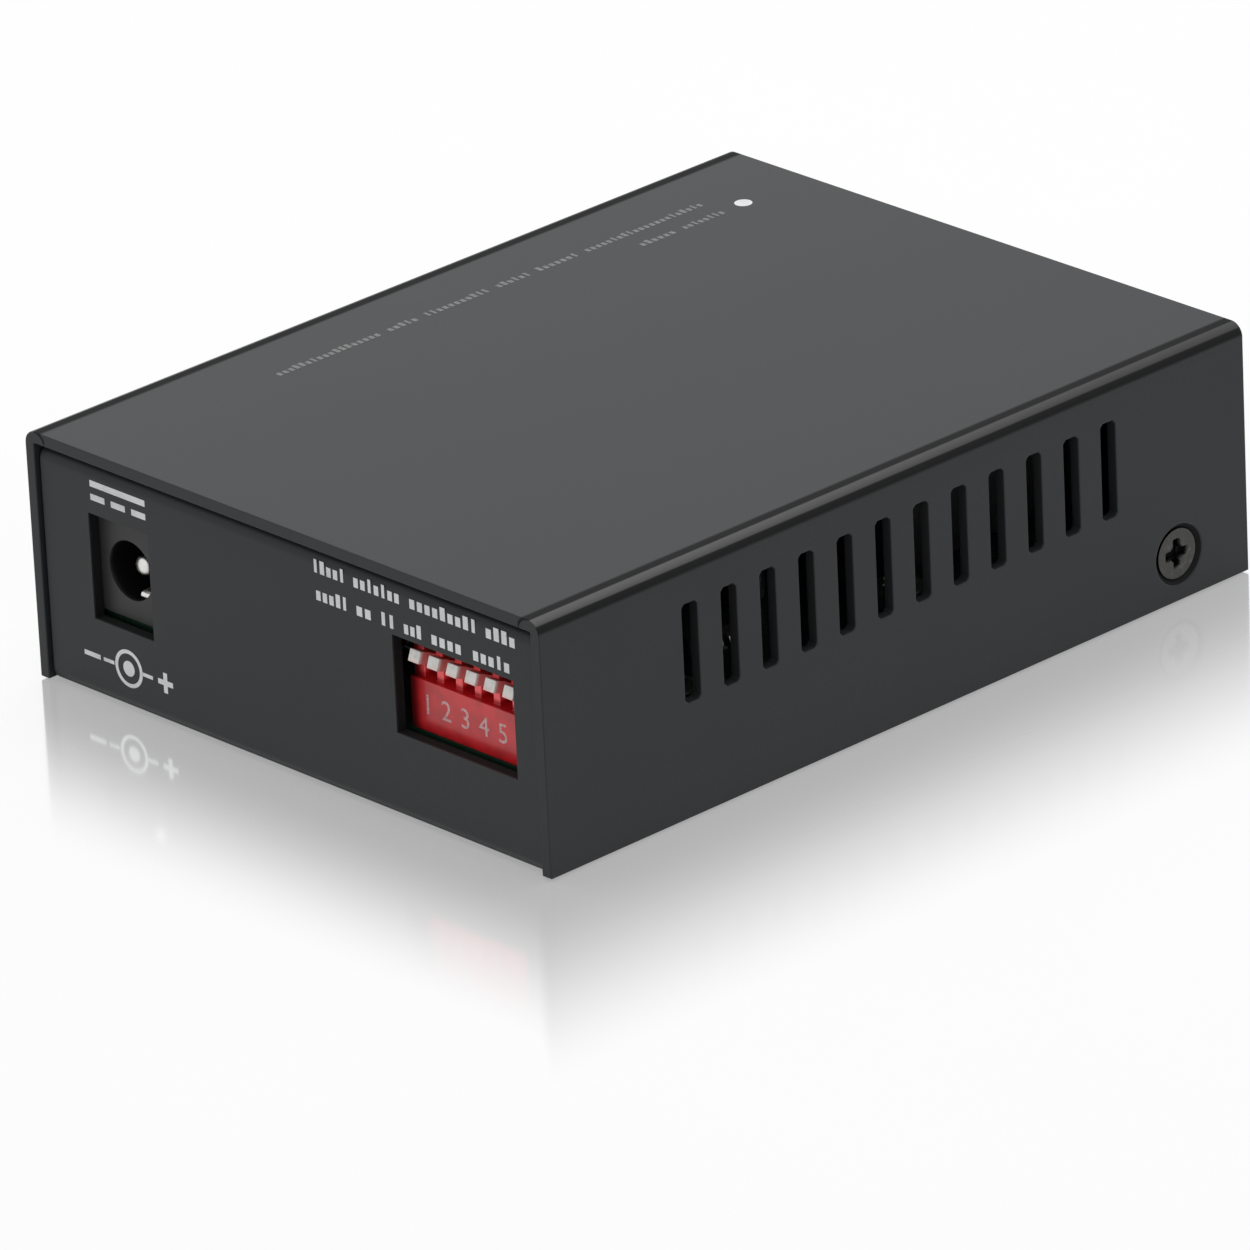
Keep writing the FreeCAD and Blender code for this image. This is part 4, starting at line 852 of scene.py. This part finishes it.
def rear_print(lift):
    """The marks on the rear panel, in millimetres from its left edge and the underside."""
    caption_x, caption_z = 12.5, 22.6
    sign_x, sign_z = 12.6, 4.45
    bars = [rectangle(7.8, 0.65, caption_x, caption_z)]
    bars += [rectangle(2.0, 0.65, caption_x + step, caption_z - 1.4) for step in (-2.9, 0, 2.9)]
    bars += [rectangle(2.3, 0.5, sign_x - 5.2, sign_z), plus(2.1, 0.55, sign_x + 5.2, sign_z)]
    bars += [rectangle(1.5, 0.38, caption_x + step, sign_z) for step in (-2.75, 2.75)]
    letter = settings("print").letter / MM
    bars += word_blocks([(39.8, 44.3), (45.3, 51.8), (52.9, 62.2), (63.2, 67.4)], 22.3, letter, 3)
    bars += word_blocks([(40.0, 44.5), (45.5, 47.8), (48.8, 51.0), (52.0, 54.6), (55.7, 60.0),
                         (61.3, 66.5)], 19.5, letter, 5)
    sign = (sign_x * MM, sign_z * MM, 0)
    rounds = [ring(1.95 * MM, 1.55 * MM, lift), disc(0.8 * MM, lift)]
    return [slab(bar * MM, lift) for bar in bars] + [set_at(shape, sign) for shape in rounds]


class PrintMarks(bpy.types.Operator):
    """Print the plain marks on the rear panel and the fine grey line on the top."""

    bl_idname = "converter.print_marks"
    bl_label = "Printed marks"

    def execute(self, context):
        lift = settings("print").lift
        corner = (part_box("top_cover")[1].x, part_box("base_tray")[1].y, 0)
        build("rear_print", [(set_at(shape, corner, REAR), "ink")
                             for shape in rear_print(lift)])
        self.print_top(lift)
        return {"FINISHED"}

    def print_top(self, lift):
        """A long and a short row of fine dashes along the case, and one round dot.

        The rows' places are in millimetres from the rear edge.
        """
        low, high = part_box("top_cover")
        letter = settings("print").fine_letter / MM
        rows = word_blocks([(24.5, 38.0), (39.0, 43.0), (44.0, 52.5), (53.5, 58.0), (59.0, 64.5),
                            (65.5, 81.5)], -0.5, letter, 7)
        rows += word_blocks([(70.0, 74.8), (75.8, 81.5)], -3.6, letter, 9)
        start = (low.x + 62.2 * MM, high.y, high.z)
        marks = [(set_at(slab(outline * MM, lift), start, about_z(-90)), "faint_ink")
                 for outline in rows]
        dot = (low.x + 59.2 * MM, high.y - 84.4 * MM, high.z)
        marks.append((set_at(disc(0.9 * MM, lift), dot), "ink"))
        build("top_print", marks)


class DressSwitch(bpy.types.Operator):
    """Finish the lever switch: its red housing, six levers and the digits below them."""

    bl_idname = "converter.dress_switch"
    bl_label = "Lever switch"

    def execute(self, context):
        switch = settings("switch")
        eased("switch_body", "switch_red", switch.edge)
        dress("switch_axle", "zinc_plate")
        dress("switch_pins", "solder")
        levers = sorted(name for name in NODES if name.startswith("switch_lever_"))
        for lever in levers:
            eased(lever, "lever_white", switch.edge,
                  body=lever.replace("switch_", ""))
        places = sorted((middle(lever).x for lever in levers), reverse=True)
        self.print_digits(places, switch.digit)
        return {"FINISHED"}

    def print_digits(self, places, height):
        """Digits from 1 up, read from the rear, on the housing's lower front face."""
        low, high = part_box("switch_body")
        rise = low.z + settings("switch").digit_rise
        turn = Matrix(REAR.T.tolist()).to_4x4()
        for number, x in enumerate(places, 1):
            text = bpy.data.curves.new("digit", "FONT")
            text.body = str(number)
            text.size = height * 1.38    # a digit is a little lower than its font's size
            text.align_x = "CENTER"
            text.align_y = "CENTER"
            text.extrude = 0.006 * MM
            holder = bpy.data.objects.new("digit", text)
            bpy.context.scene.collection.objects.link(holder)
            bpy.context.view_layer.update()
            mesh = bpy.data.meshes.new_from_object(holder)
            bpy.data.objects.remove(holder)
            mesh.transform(Matrix.Translation((x, high.y, rise)) @ turn)
            mesh.materials.clear()
            mesh.materials.append(finish("digit_ink"))
            put(mesh, f"switch_digit_{number}", "base")


class DressInlet(bpy.types.Operator):
    """Finish the power inlet: its housing, centre pin and bowed leaf contact."""

    bl_idname = "converter.dress_inlet"
    bl_label = "Power inlet"

    def execute(self, context):
        inlet = settings("inlet")
        eased("power_inlet_body", "inlet_nylon", inlet.edge)
        self.make_pin()
        self.make_leaf()
        dress("power_inlet_legs", "solder")
        return {"FINISHED"}

    def make_pin(self):
        """The pin as a turned profile: a collar, a straight shank and an elliptical nose."""
        low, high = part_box("power_inlet_pin")
        radius, whole = (high.x - low.x) / 2, high.y - low.y
        tail, collar = 0.8 * radius, settings("inlet").collar
        nose = quarter_round(radius, whole, radius, 0.6 * radius, 9)
        profile = np.concatenate([[(0, 0), (tail, 0), (tail, collar), (radius, collar),
                                   (radius, collar + 0.3 * MM)], nose])
        centre = middle("power_inlet_pin")
        shape = set_at(turned(profile, 40), (centre.x, low.y, centre.z), REAR)
        build("power_inlet_pin_turned", [(shape, "contact_nickel")],
              replaced=["power_inlet_pin"])

    def make_leaf(self):
        """A flat strip carried along a bowed line that curls over a small circle at its end."""
        low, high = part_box("power_inlet_spring")
        inlet = settings("inlet")
        thick, curl = inlet.leaf, inlet.curl
        reach = high.y - low.y - curl - thick / 2
        step = np.linspace(0, 1, 25)
        bow = inlet.bow * np.sin(pi * np.clip(step / 0.9, 0, 1)) ** 2
        strip = np.column_stack([low.y + reach * step, low.z + thick / 2 + bow])
        angle = np.linspace(0, 1.5 * pi, 15)[1:]
        end = np.column_stack([low.y + reach + curl * np.sin(angle),
                               strip[-1, 1] - curl + curl * np.cos(angle)])
        bent = np.concatenate([strip, end])
        path = np.column_stack([np.full(len(bent), (low.x + high.x) / 2), bent])
        shape = carried(rectangle(high.x - low.x, thick), path, (1, 0, 0))
        build("power_inlet_leaf", [(shape, "contact_nickel")],
              width=0.04 * MM, replaced=["power_inlet_spring"])


class DressNetworkSocket(bpy.types.Operator):
    """Finish the network socket: shell, moulding and the eight sprung contact wires."""

    bl_idname = "converter.dress_network_socket"
    bl_label = "Network socket"

    def execute(self, context):
        eased("network_shield", "shell_tin", 0.06 * MM)
        eased("network_socket_body", "port_plastic", 0.15 * MM)
        dress("network_pins", "solder")
        self.make_wires()
        return {"FINISHED"}

    def make_wires(self):
        """Each wire is a flattened octagon carried along a line with a soft bend."""
        low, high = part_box("network_contacts")
        half, count, sides = WIRE_THICK / 2, 8, 8
        angle = np.arange(sides) * 2 * pi / sides
        section = np.column_stack([np.cos(angle) * WIRE_WIDTH / 2, np.sin(angle) * half])
        path = rounded_path([(0, low.y, high.z - half), (0, low.y + 2.0 * MM, high.z - half),
                             (0, high.y - 0.1 * MM, low.z + half)], 0.9 * MM)
        places = [(x, 0, 0) for x in
                  np.linspace(low.x + WIRE_WIDTH / 2, high.x - WIRE_WIDTH / 2, count)]
        wires = repeated(carried(section, path, (1, 0, 0)), places)
        build("network_wires", [(wires, "contact_gold")],
              replaced=["network_contacts"])


class DressFibrePort(bpy.types.Operator):
    """Finish the fibre port: housing, latch hooks, ceramic sleeves and transceiver."""

    bl_idname = "converter.dress_fibre_port"
    bl_label = "Fibre port"

    def execute(self, context):
        eased("fibre_port_body", "port_plastic", 0.2 * MM)
        eased("fibre_latches", "port_plastic", 0.08 * MM)
        eased("fibre_transceiver", "chip_epoxy", 0.15 * MM)
        dress("fibre_pins", "solder")
        self.make_sleeves()
        return {"FINISHED"}

    def make_sleeves(self):
        """Each sleeve is a tube profile with a cone at its mouth, turned about its own axis."""
        low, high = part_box("fibre_sleeves")
        outer, inner = (high.z - low.z) / 2, SLEEVE_BORE
        reach, lip = high.y - low.y, 0.35 * MM
        profile = [(inner, 0), (outer, 0), (outer, reach - lip), (outer - lip, reach),
                   (inner + 0.25 * MM, reach), (inner, reach - 0.5 * MM), (inner, 0)]
        places = [(x, high.y, (low.z + high.z) / 2) for x in (low.x + outer, high.x - outer)]
        sleeves = repeated(set_at(turned(profile, 56), (0, 0, 0), FRONT), places)
        build("fibre_sleeves_turned", [(sleeves, "ceramic")],
              replaced=["fibre_sleeves"])


class DressLights(bpy.types.Operator):
    """Finish the status lights and their holder."""

    bl_idname = "converter.dress_lights"
    bl_label = "Status lights"

    def execute(self, context):
        eased("status_lights", "lamp_lens", 0.25 * MM)
        dress("status_light_block", "port_plastic")
        return {"FINISHED"}


def cross_head(radius, dome, arm, depth):
    """A screw's face on a polar grid: height = a dome less a cross with a deeper round core."""
    rings = 36
    away, angle = np.meshgrid(np.linspace(0, radius, rings),
                              np.arange(HEAD_STEPS) * 2 * pi / HEAD_STEPS, indexing="ij")
    x, y = away * np.cos(angle), away * np.sin(angle)
    near, far = np.minimum(abs(x), abs(y)), np.maximum(abs(x), abs(y))
    cross = np.clip((arm * 0.30 - near) / (arm * 0.08), 0, 1)
    cross *= np.clip((arm - far) / (arm * 0.2), 0, 1)
    core = np.clip((arm * 0.62 - away) / (arm * 0.25), 0, 1)
    height = dome * (1 - 0.28 * (away / radius) ** 3) - depth * np.maximum(cross * 0.75, core)
    return np.stack([x, y, height], axis=-1).reshape(-1, 3), quads(rings, HEAD_STEPS)


def threaded(start, end):
    """Profile of a threaded shank: its radius dips once in each pitch, like a rounded saw."""
    pitch = 0.5 * MM
    height = np.arange(start, end, -pitch / 4)
    dip = np.array([0.0, 0.5, 1.0, 0.5])[np.arange(len(height)) % 4]
    return np.column_stack([SCREW_THREAD - 0.16 * MM * dip, height]).tolist() + [(0, end)]


class DressFasteners(bpy.types.Operator):
    """Finish the cover screws, nuts, standoffs and board screws."""

    bl_idname = "converter.dress_fasteners"
    bl_label = "Fasteners"

    def execute(self, context):
        eased("cover_nuts", "zinc_plate", 0.15 * MM)
        eased("board_standoffs", "zinc_plate", 0.1 * MM)
        self.make_cover_screws()
        self.make_board_screws()
        return {"FINISHED"}

    def make_cover_screws(self):
        """Countersunk screws: a flat cross-head face, a cone and a threaded shank."""
        low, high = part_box("cover_screws")
        centre = middle("cover_screws")
        radius, rise = (high.z - low.z) / 2, settings("case").screw_rise
        neck = SCREW_THREAD - radius
        face = cross_head(radius, 0.0, 1.55 * MM, 1.0 * MM)
        profile = [(radius, 0), (SCREW_THREAD, neck)] + threaded(neck, -6.0 * MM)
        screw = joined([face, turned(profile, HEAD_STEPS)])
        screws = []
        for side, x in ((-1, low.x - rise), (1, high.x + rise)):
            turn = np.array([[0, side, 0], [0, 0, 1], [side, 0, 0]], float)
            screws.append(set_at(screw, (x, centre.y, centre.z), turn))
        build("cover_screws_headed", [(joined(screws), "black_zinc")],
              replaced=["cover_screws"])

    def make_board_screws(self):
        """Pan-head screws: a domed cross-head face, a straight rim and a threaded shank."""
        low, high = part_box("board_screws")
        head, rise = 2.7 * MM, 2.0 * MM
        face = cross_head(head, rise, 1.6 * MM, 1.1 * MM)
        profile = [(head, rise * 0.72), (head, 0)] + threaded(0.0, -5.5 * MM)
        screw = joined([face, turned(profile, HEAD_STEPS)])
        places = [(x, y, high.z - rise) for x in (low.x + head, high.x - head)
                  for y in (low.y + head, high.y - head)]
        build("board_screws_headed", [(repeated(screw, places), "zinc_plate")],
              replaced=["board_screws"])


class DressBoard(bpy.types.Operator):
    """Finish the circuit board and give every solder pin its fillet."""

    bl_idname = "converter.dress_board"
    bl_label = "Circuit board"

    def execute(self, context):
        dress("circuit_board", "board_mask")
        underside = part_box("circuit_board")[0].z
        profile = [(0.75, 0.0), (0.72, -0.05), (0.46, -0.3), (0.34, -0.75), (0.30, -1.1)]
        fillet = turned([(radius * MM, height * MM) for radius, height in profile], 16)
        places = [(x, y, underside) for node in
                  ("power_inlet_legs", "switch_pins", "network_pins", "fibre_pins")
                  for x, y in pin_places(node)]
        build("solder_fillets", [(repeated(fillet, places), "solder")])
        return {"FINISHED"}


def points_of(node, grid):
    """A node's points seen from above, rounded to a grid, each once."""
    mesh = NODES[node].data
    points = np.zeros(len(mesh.vertices) * 3)
    mesh.vertices.foreach_get("co", points)
    return np.unique(np.round(points.reshape(-1, 3)[:, :2] / grid), axis=0) * grid


def middles_of(points, together):
    """Middle of each cluster: the mean of the points that belong together, each once."""
    middles = np.array([points[row].mean(axis=0) for row in together])
    return np.unique(np.round(middles / (0.05 * MM)) * 0.05 * MM, axis=0)


def pin_places(node):
    """Middle of each separate pin of a node: a pin's points lie within 0.95 mm."""
    points = points_of(node, 0.1 * MM)
    away = np.linalg.norm(points[:, None] - points[None], axis=-1)
    return middles_of(points, away < 0.95 * MM)


def small_places():
    """Middle of each small part: its four corners lie a whole width or length apart."""
    corners = points_of("small_parts", 0.02 * MM)
    offset = abs(corners[:, None] - corners[None])
    near = [(offset[..., axis] < 0.1 * MM) | (abs(offset[..., axis] - size) < 0.1 * MM)
            for axis, size in enumerate(SMALL_PART[:2])]
    return middles_of(corners, near[0] & near[1])


def gull_lead(width, body_height):
    """A flat section carried out of a package, down in an S and out along the board."""
    thick, reach = 0.16 * MM, 1.25 * MM
    rise = body_height * 0.45
    path = rounded_path([(-0.2 * MM, 0, rise), (reach * 0.35, 0, rise),
                         (reach * 0.55, 0, thick / 2), (reach, 0, thick / 2)], 0.14 * MM, 4)
    return carried(rectangle(width, thick), path, (0, 1, 0))


def leads_round(node):
    """Bent leads along the sides of a package: a row of copies turned to face outwards."""
    count, pitch, width, sides = LEADS[node]
    low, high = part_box(node)
    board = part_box("circuit_board")[1].z
    centre = (*middle(node).xy, board)
    lead = gull_lead(width, high.z - board)
    offsets = (np.arange(count) - (count - 1) / 2) * pitch
    shapes = []
    for side in sides:
        turn = about_z(side)
        half = (high.x - low.x) / 2 if side % 180 == 0 else (high.y - low.y) / 2
        places = centre + turn[0] * half + offsets[:, None] * turn[1]
        shapes.append(repeated(set_at(lead, (0, 0, 0), turn), places))
    return joined(shapes)


class DressChips(bpy.types.Operator):
    """Finish the moulded chips and bend their leads down to the board."""

    bl_idname = "converter.dress_chips"
    bl_label = "Chips"

    def execute(self, context):
        for node in ("controller_chip", "memory_chip", "power_regulator", "resistor_pack",
                     "network_transformer"):
            eased(node, "chip_epoxy", 0.12 * MM)
        build("controller_leads_bent", [(leads_round("controller_chip"), "solder")],
              replaced=["controller_leads"])
        others = joined([leads_round(node) for node in LEADS if node != "controller_chip"])
        build("chip_leads_bent", [(others, "solder")])
        return {"FINISHED"}


class DressPowerParts(bpy.types.Operator):
    """Make the can capacitors, the wound coil, the crystal and the small chip parts."""

    bl_idname = "converter.dress_power_parts"
    bl_label = "Power parts"

    def execute(self, context):
        self.make_cans()
        self.make_coil()
        eased("crystal_can", "shell_tin", 0.35 * MM)
        self.make_small_parts()
        return {"FINISHED"}

    def make_cans(self):
        """Each can is a sleeve profile with a rolled groove, and a scored metal top inside it; the
        scores are dark strips of painted shade.
        """
        low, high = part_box("filter_capacitors")
        radius, tall = (high.x - low.x) / 2, high.z - low.z
        mouth, rim = radius * 0.80, tall - 0.25 * MM
        waist = np.linspace(0, pi, 9)
        groove = np.column_stack([radius - 0.35 * MM * np.sin(waist),
                                  1.4 * MM + 1.2 * MM * waist / pi])
        shoulder = quarter_round(radius, tall, 0.55 * MM, 0.55 * MM, 7)
        sleeve = np.concatenate([[(0, 0), (radius - 0.2 * MM, 0), (radius, 0.2 * MM)], groove,
                                 shoulder, [(mouth, tall), (mouth, rim)]])
        plate = [(mouth, rim), (radius * 0.72, rim - 0.07 * MM), (0, rim - 0.07 * MM)]
        # Painted shade: the scores drawn as thin dark strips on the metal top.
        line = slab(rectangle(radius * 1.1, 0.12 * MM), 0.05 * MM)
        score_shade = joined([set_at(line, (0, 0, rim - 0.08 * MM), about_z(turn))
                        for turn in (0, 90)])
        places = [((low.x + high.x) / 2, y, low.z) for y in (low.y + radius, high.y - radius)]
        build("capacitor_cans", [
            (repeated(turned(sleeve, 56), places), "can_sleeve"),
            (repeated(turned(plate, 56), places), "can_top"),
            (repeated(score_shade, places), "chip_epoxy")],
            replaced=["filter_capacitors"])

    def make_coil(self):
        """Drum flanges, and between them a winding whose radius ripples once for each turn."""
        low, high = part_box("power_coil")
        radius, tall = (high.x - low.x) / 2, high.z - low.z
        rim, edge = 1.0 * MM, 0.2 * MM
        foot = [(0, 0), (radius - edge, 0), (radius, edge), (radius, rim - edge),
                (radius - edge, rim), (0, rim)]
        top = [(r, tall - h) for r, h in foot]
        turns = 9
        step = np.linspace(0, 1, turns * 10 + 1)
        wire = radius - 0.75 * MM + 0.13 * MM * abs(np.sin(step * turns * pi))
        winding = np.column_stack([wire, rim + (tall - 2 * rim) * step])
        at = (*middle("power_coil").xy, low.z)
        build("power_coil_wound", [
            (set_at(turned(profile, 64), at), worn) for profile, worn in
            ((foot, "ferrite"), (top, "ferrite"), (winding, "enamelled_wire"))],
            replaced=["power_coil"])

    def make_small_parts(self):
        """Each small part is a dark body between two tinned end caps."""
        wide, long, tall = SMALL_PART
        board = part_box("circuit_board")[1].z
        places = [(x, y, board) for x, y in small_places()]
        body = slab(rectangle(wide * 0.94, long * 0.6), tall * 0.95)
        caps = joined([slab(rectangle(wide, long * 0.22, 0, long * 0.39 * side), tall)
                       for side in (-1, 1)])
        build("small_parts_capped", [
            (repeated(body, places), "chip_epoxy"), (repeated(caps, places), "solder")],
            width=0.05 * MM, replaced=["small_parts"])


# The stage


def white_floor(graph):
    """A pale floor that keeps a soft shadow and mirrors the case beside it.

    The mirroring fades with the distance out from a long side. Past an end it fades with 1.34
    times the distance, and the two meet along a line from the case's corner.
    """
    stage = settings("stage")
    low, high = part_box("base_tray")
    half = (high - low) / 2
    out_x = greater(abs(graph.place("x")) - half.x, 0.0)
    out_y = greater(abs(graph.place("y")) - half.y, 0.0)
    from_end = 1.34 * out_y
    beside = graph.ramp(0.93 * out_x - out_y, -1.0 * MM, 1.0 * MM)
    away = from_end + (out_x - from_end) * beside
    fade = graph.ramp(away, stage.mirror_start, stage.mirror_reach, stage.mirror, 0.0)
    tint = graph.mix(graph.noise(40 * MM), (stage.floor - 0.01,) * 3, (stage.floor + 0.01,) * 3)
    shade = graph.add("ShaderNodeBsdfDiffuse", inputs={"Color": tint})
    glow = graph.add("ShaderNodeEmission", inputs={"Color": (1.0, 1.0, 1.0), "Strength": 1.0})
    seen = graph.add("ShaderNodeLightPath", output="Is Camera Ray")
    matt = graph.add("ShaderNodeMixShader", inputs={0: 0.25 + seen * 0.45, 1: shade, 2: glow})
    gloss = graph.add("ShaderNodeBsdfGlossy", inputs={
        "Color": (1.0, 1.0, 1.0), "Roughness": 0.09})
    whole = graph.add("ShaderNodeMixShader", inputs={0: fade, 1: matt, 2: gloss})
    graph.add("ShaderNodeOutputMaterial", inputs={"Surface": whole})


def white_room(graph):
    """White where it is looked at or mirrored, and a dimmer even fill for everything else."""
    camera, glossy, through = (graph.add("ShaderNodeLightPath", output=f"Is {ray} Ray")
                               for ray in ("Camera", "Glossy", "Transmission"))
    seen = lesser(camera + glossy + through, 1.0)
    fill = settings("stage").fill
    light = graph.add("ShaderNodeBackground", inputs={
        "Color": (1.0, 1.0, 1.0), "Strength": fill + seen * (1.0 - fill)})
    graph.add("ShaderNodeOutputWorld", inputs={"Surface": light})


class SetStage(bpy.types.Operator):
    """Lay the floor, hang the soft lamp and set the camera."""

    bl_idname = "converter.set_stage"
    bl_label = "Stage"

    def execute(self, context):
        scene = context.scene
        scene.view_settings.view_transform = "Standard"
        self.lay_floor()
        self.hang_lamp(context)
        self.set_camera(context)
        scene.world = bpy.data.worlds.new("white_room")
        white_room(Graph(scene.world))
        return {"FINISHED"}

    def lay_floor(self):
        """A flat square grid: x and y from -2 m to 2 m, a hair below the underside."""
        side = np.linspace(-2.0, 2.0, 9)
        x, y = np.meshgrid(side, side)
        points = np.stack([x, y, np.full_like(x, -0.02 * MM)], axis=-1).reshape(-1, 3)
        mesh = bpy.data.meshes.new("floor")
        mesh.from_pydata(points, [], quads(9, 9, closed=False))
        floor = bpy.data.objects.new("floor", mesh)
        bpy.context.scene.collection.objects.link(floor)
        material = bpy.data.materials.new("white_floor")
        white_floor(Graph(material))
        mesh.materials.append(material)

    def hang_lamp(self, context):
        """A large square lamp over the case, shining straight down."""
        stage = settings("stage")
        lamp = bpy.data.lights.new("softbox", "AREA")
        lamp.shape = "SQUARE"
        lamp.size = stage.softbox_side
        lamp.energy = stage.softbox
        hanging = bpy.data.objects.new("softbox", lamp)
        hanging.location = stage.softbox_place
        context.scene.collection.objects.link(hanging)

    def set_camera(self, context):
        """Camera axes from azimuth and elevation, then turned about the line of sight."""
        stage = settings("stage")
        turn, rise, roll = stage.azimuth, stage.elevation, stage.roll
        back = Vector((sin(turn) * cos(rise), -cos(turn) * cos(rise), sin(rise)))
        right = Vector((cos(turn), sin(turn), 0))
        up = back.cross(right)
        leaned = (right * cos(roll) + up * sin(roll), up * cos(roll) - right * sin(roll), back)
        lens = bpy.data.cameras.new("camera")
        lens.lens = stage.lens
        lens.sensor_width = 36.0
        lens.clip_start = 0.05
        lens.clip_end = 20.0
        camera = bpy.data.objects.new("camera", lens)
        context.scene.collection.objects.link(camera)
        camera.matrix_world = (Matrix.Translation(Vector(stage.aim) + back * stage.distance)
                               @ Matrix(leaned).transposed().to_4x4())
        context.scene.camera = camera


OPERATORS = (
    DressCase, PrintMarks, DressSwitch, DressInlet, DressNetworkSocket, DressFibrePort,
    DressLights, DressFasteners, DressBoard, DressChips, DressPowerParts, SetStage,
)


class ConverterPanel(bpy.types.Panel):
    """Lists the makers and their settings in the 3D view's sidebar."""

    bl_idname = "VIEW3D_PT_converter"
    bl_label = "Fibre media converter"
    bl_space_type = "VIEW_3D"
    bl_region_type = "UI"
    bl_category = "Converter"

    def draw(self, context):
        for maker in OPERATORS:
            self.layout.operator(maker.bl_idname)
        for name, group in GROUPS.items():
            box = self.layout.box()
            box.label(text=name.capitalize())
            for setting in group.__annotations__:
                box.prop(settings(name), setting)


def register():
    for kind in (*GROUPS.values(), *OPERATORS, ConverterPanel):
        bpy.utils.register_class(kind)
    for name, group in GROUPS.items():
        setattr(bpy.types.Scene, "converter_" + name, PointerProperty(type=group))


def unregister():
    for name in GROUPS:
        delattr(bpy.types.Scene, "converter_" + name)
    for kind in reversed((*GROUPS.values(), *OPERATORS, ConverterPanel)):
        bpy.utils.unregister_class(kind)


def main():
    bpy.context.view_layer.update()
    register()
    for maker in OPERATORS:
        getattr(bpy.ops.converter, maker.bl_idname.split(".")[1])()


if __name__ == "__main__":
    main()
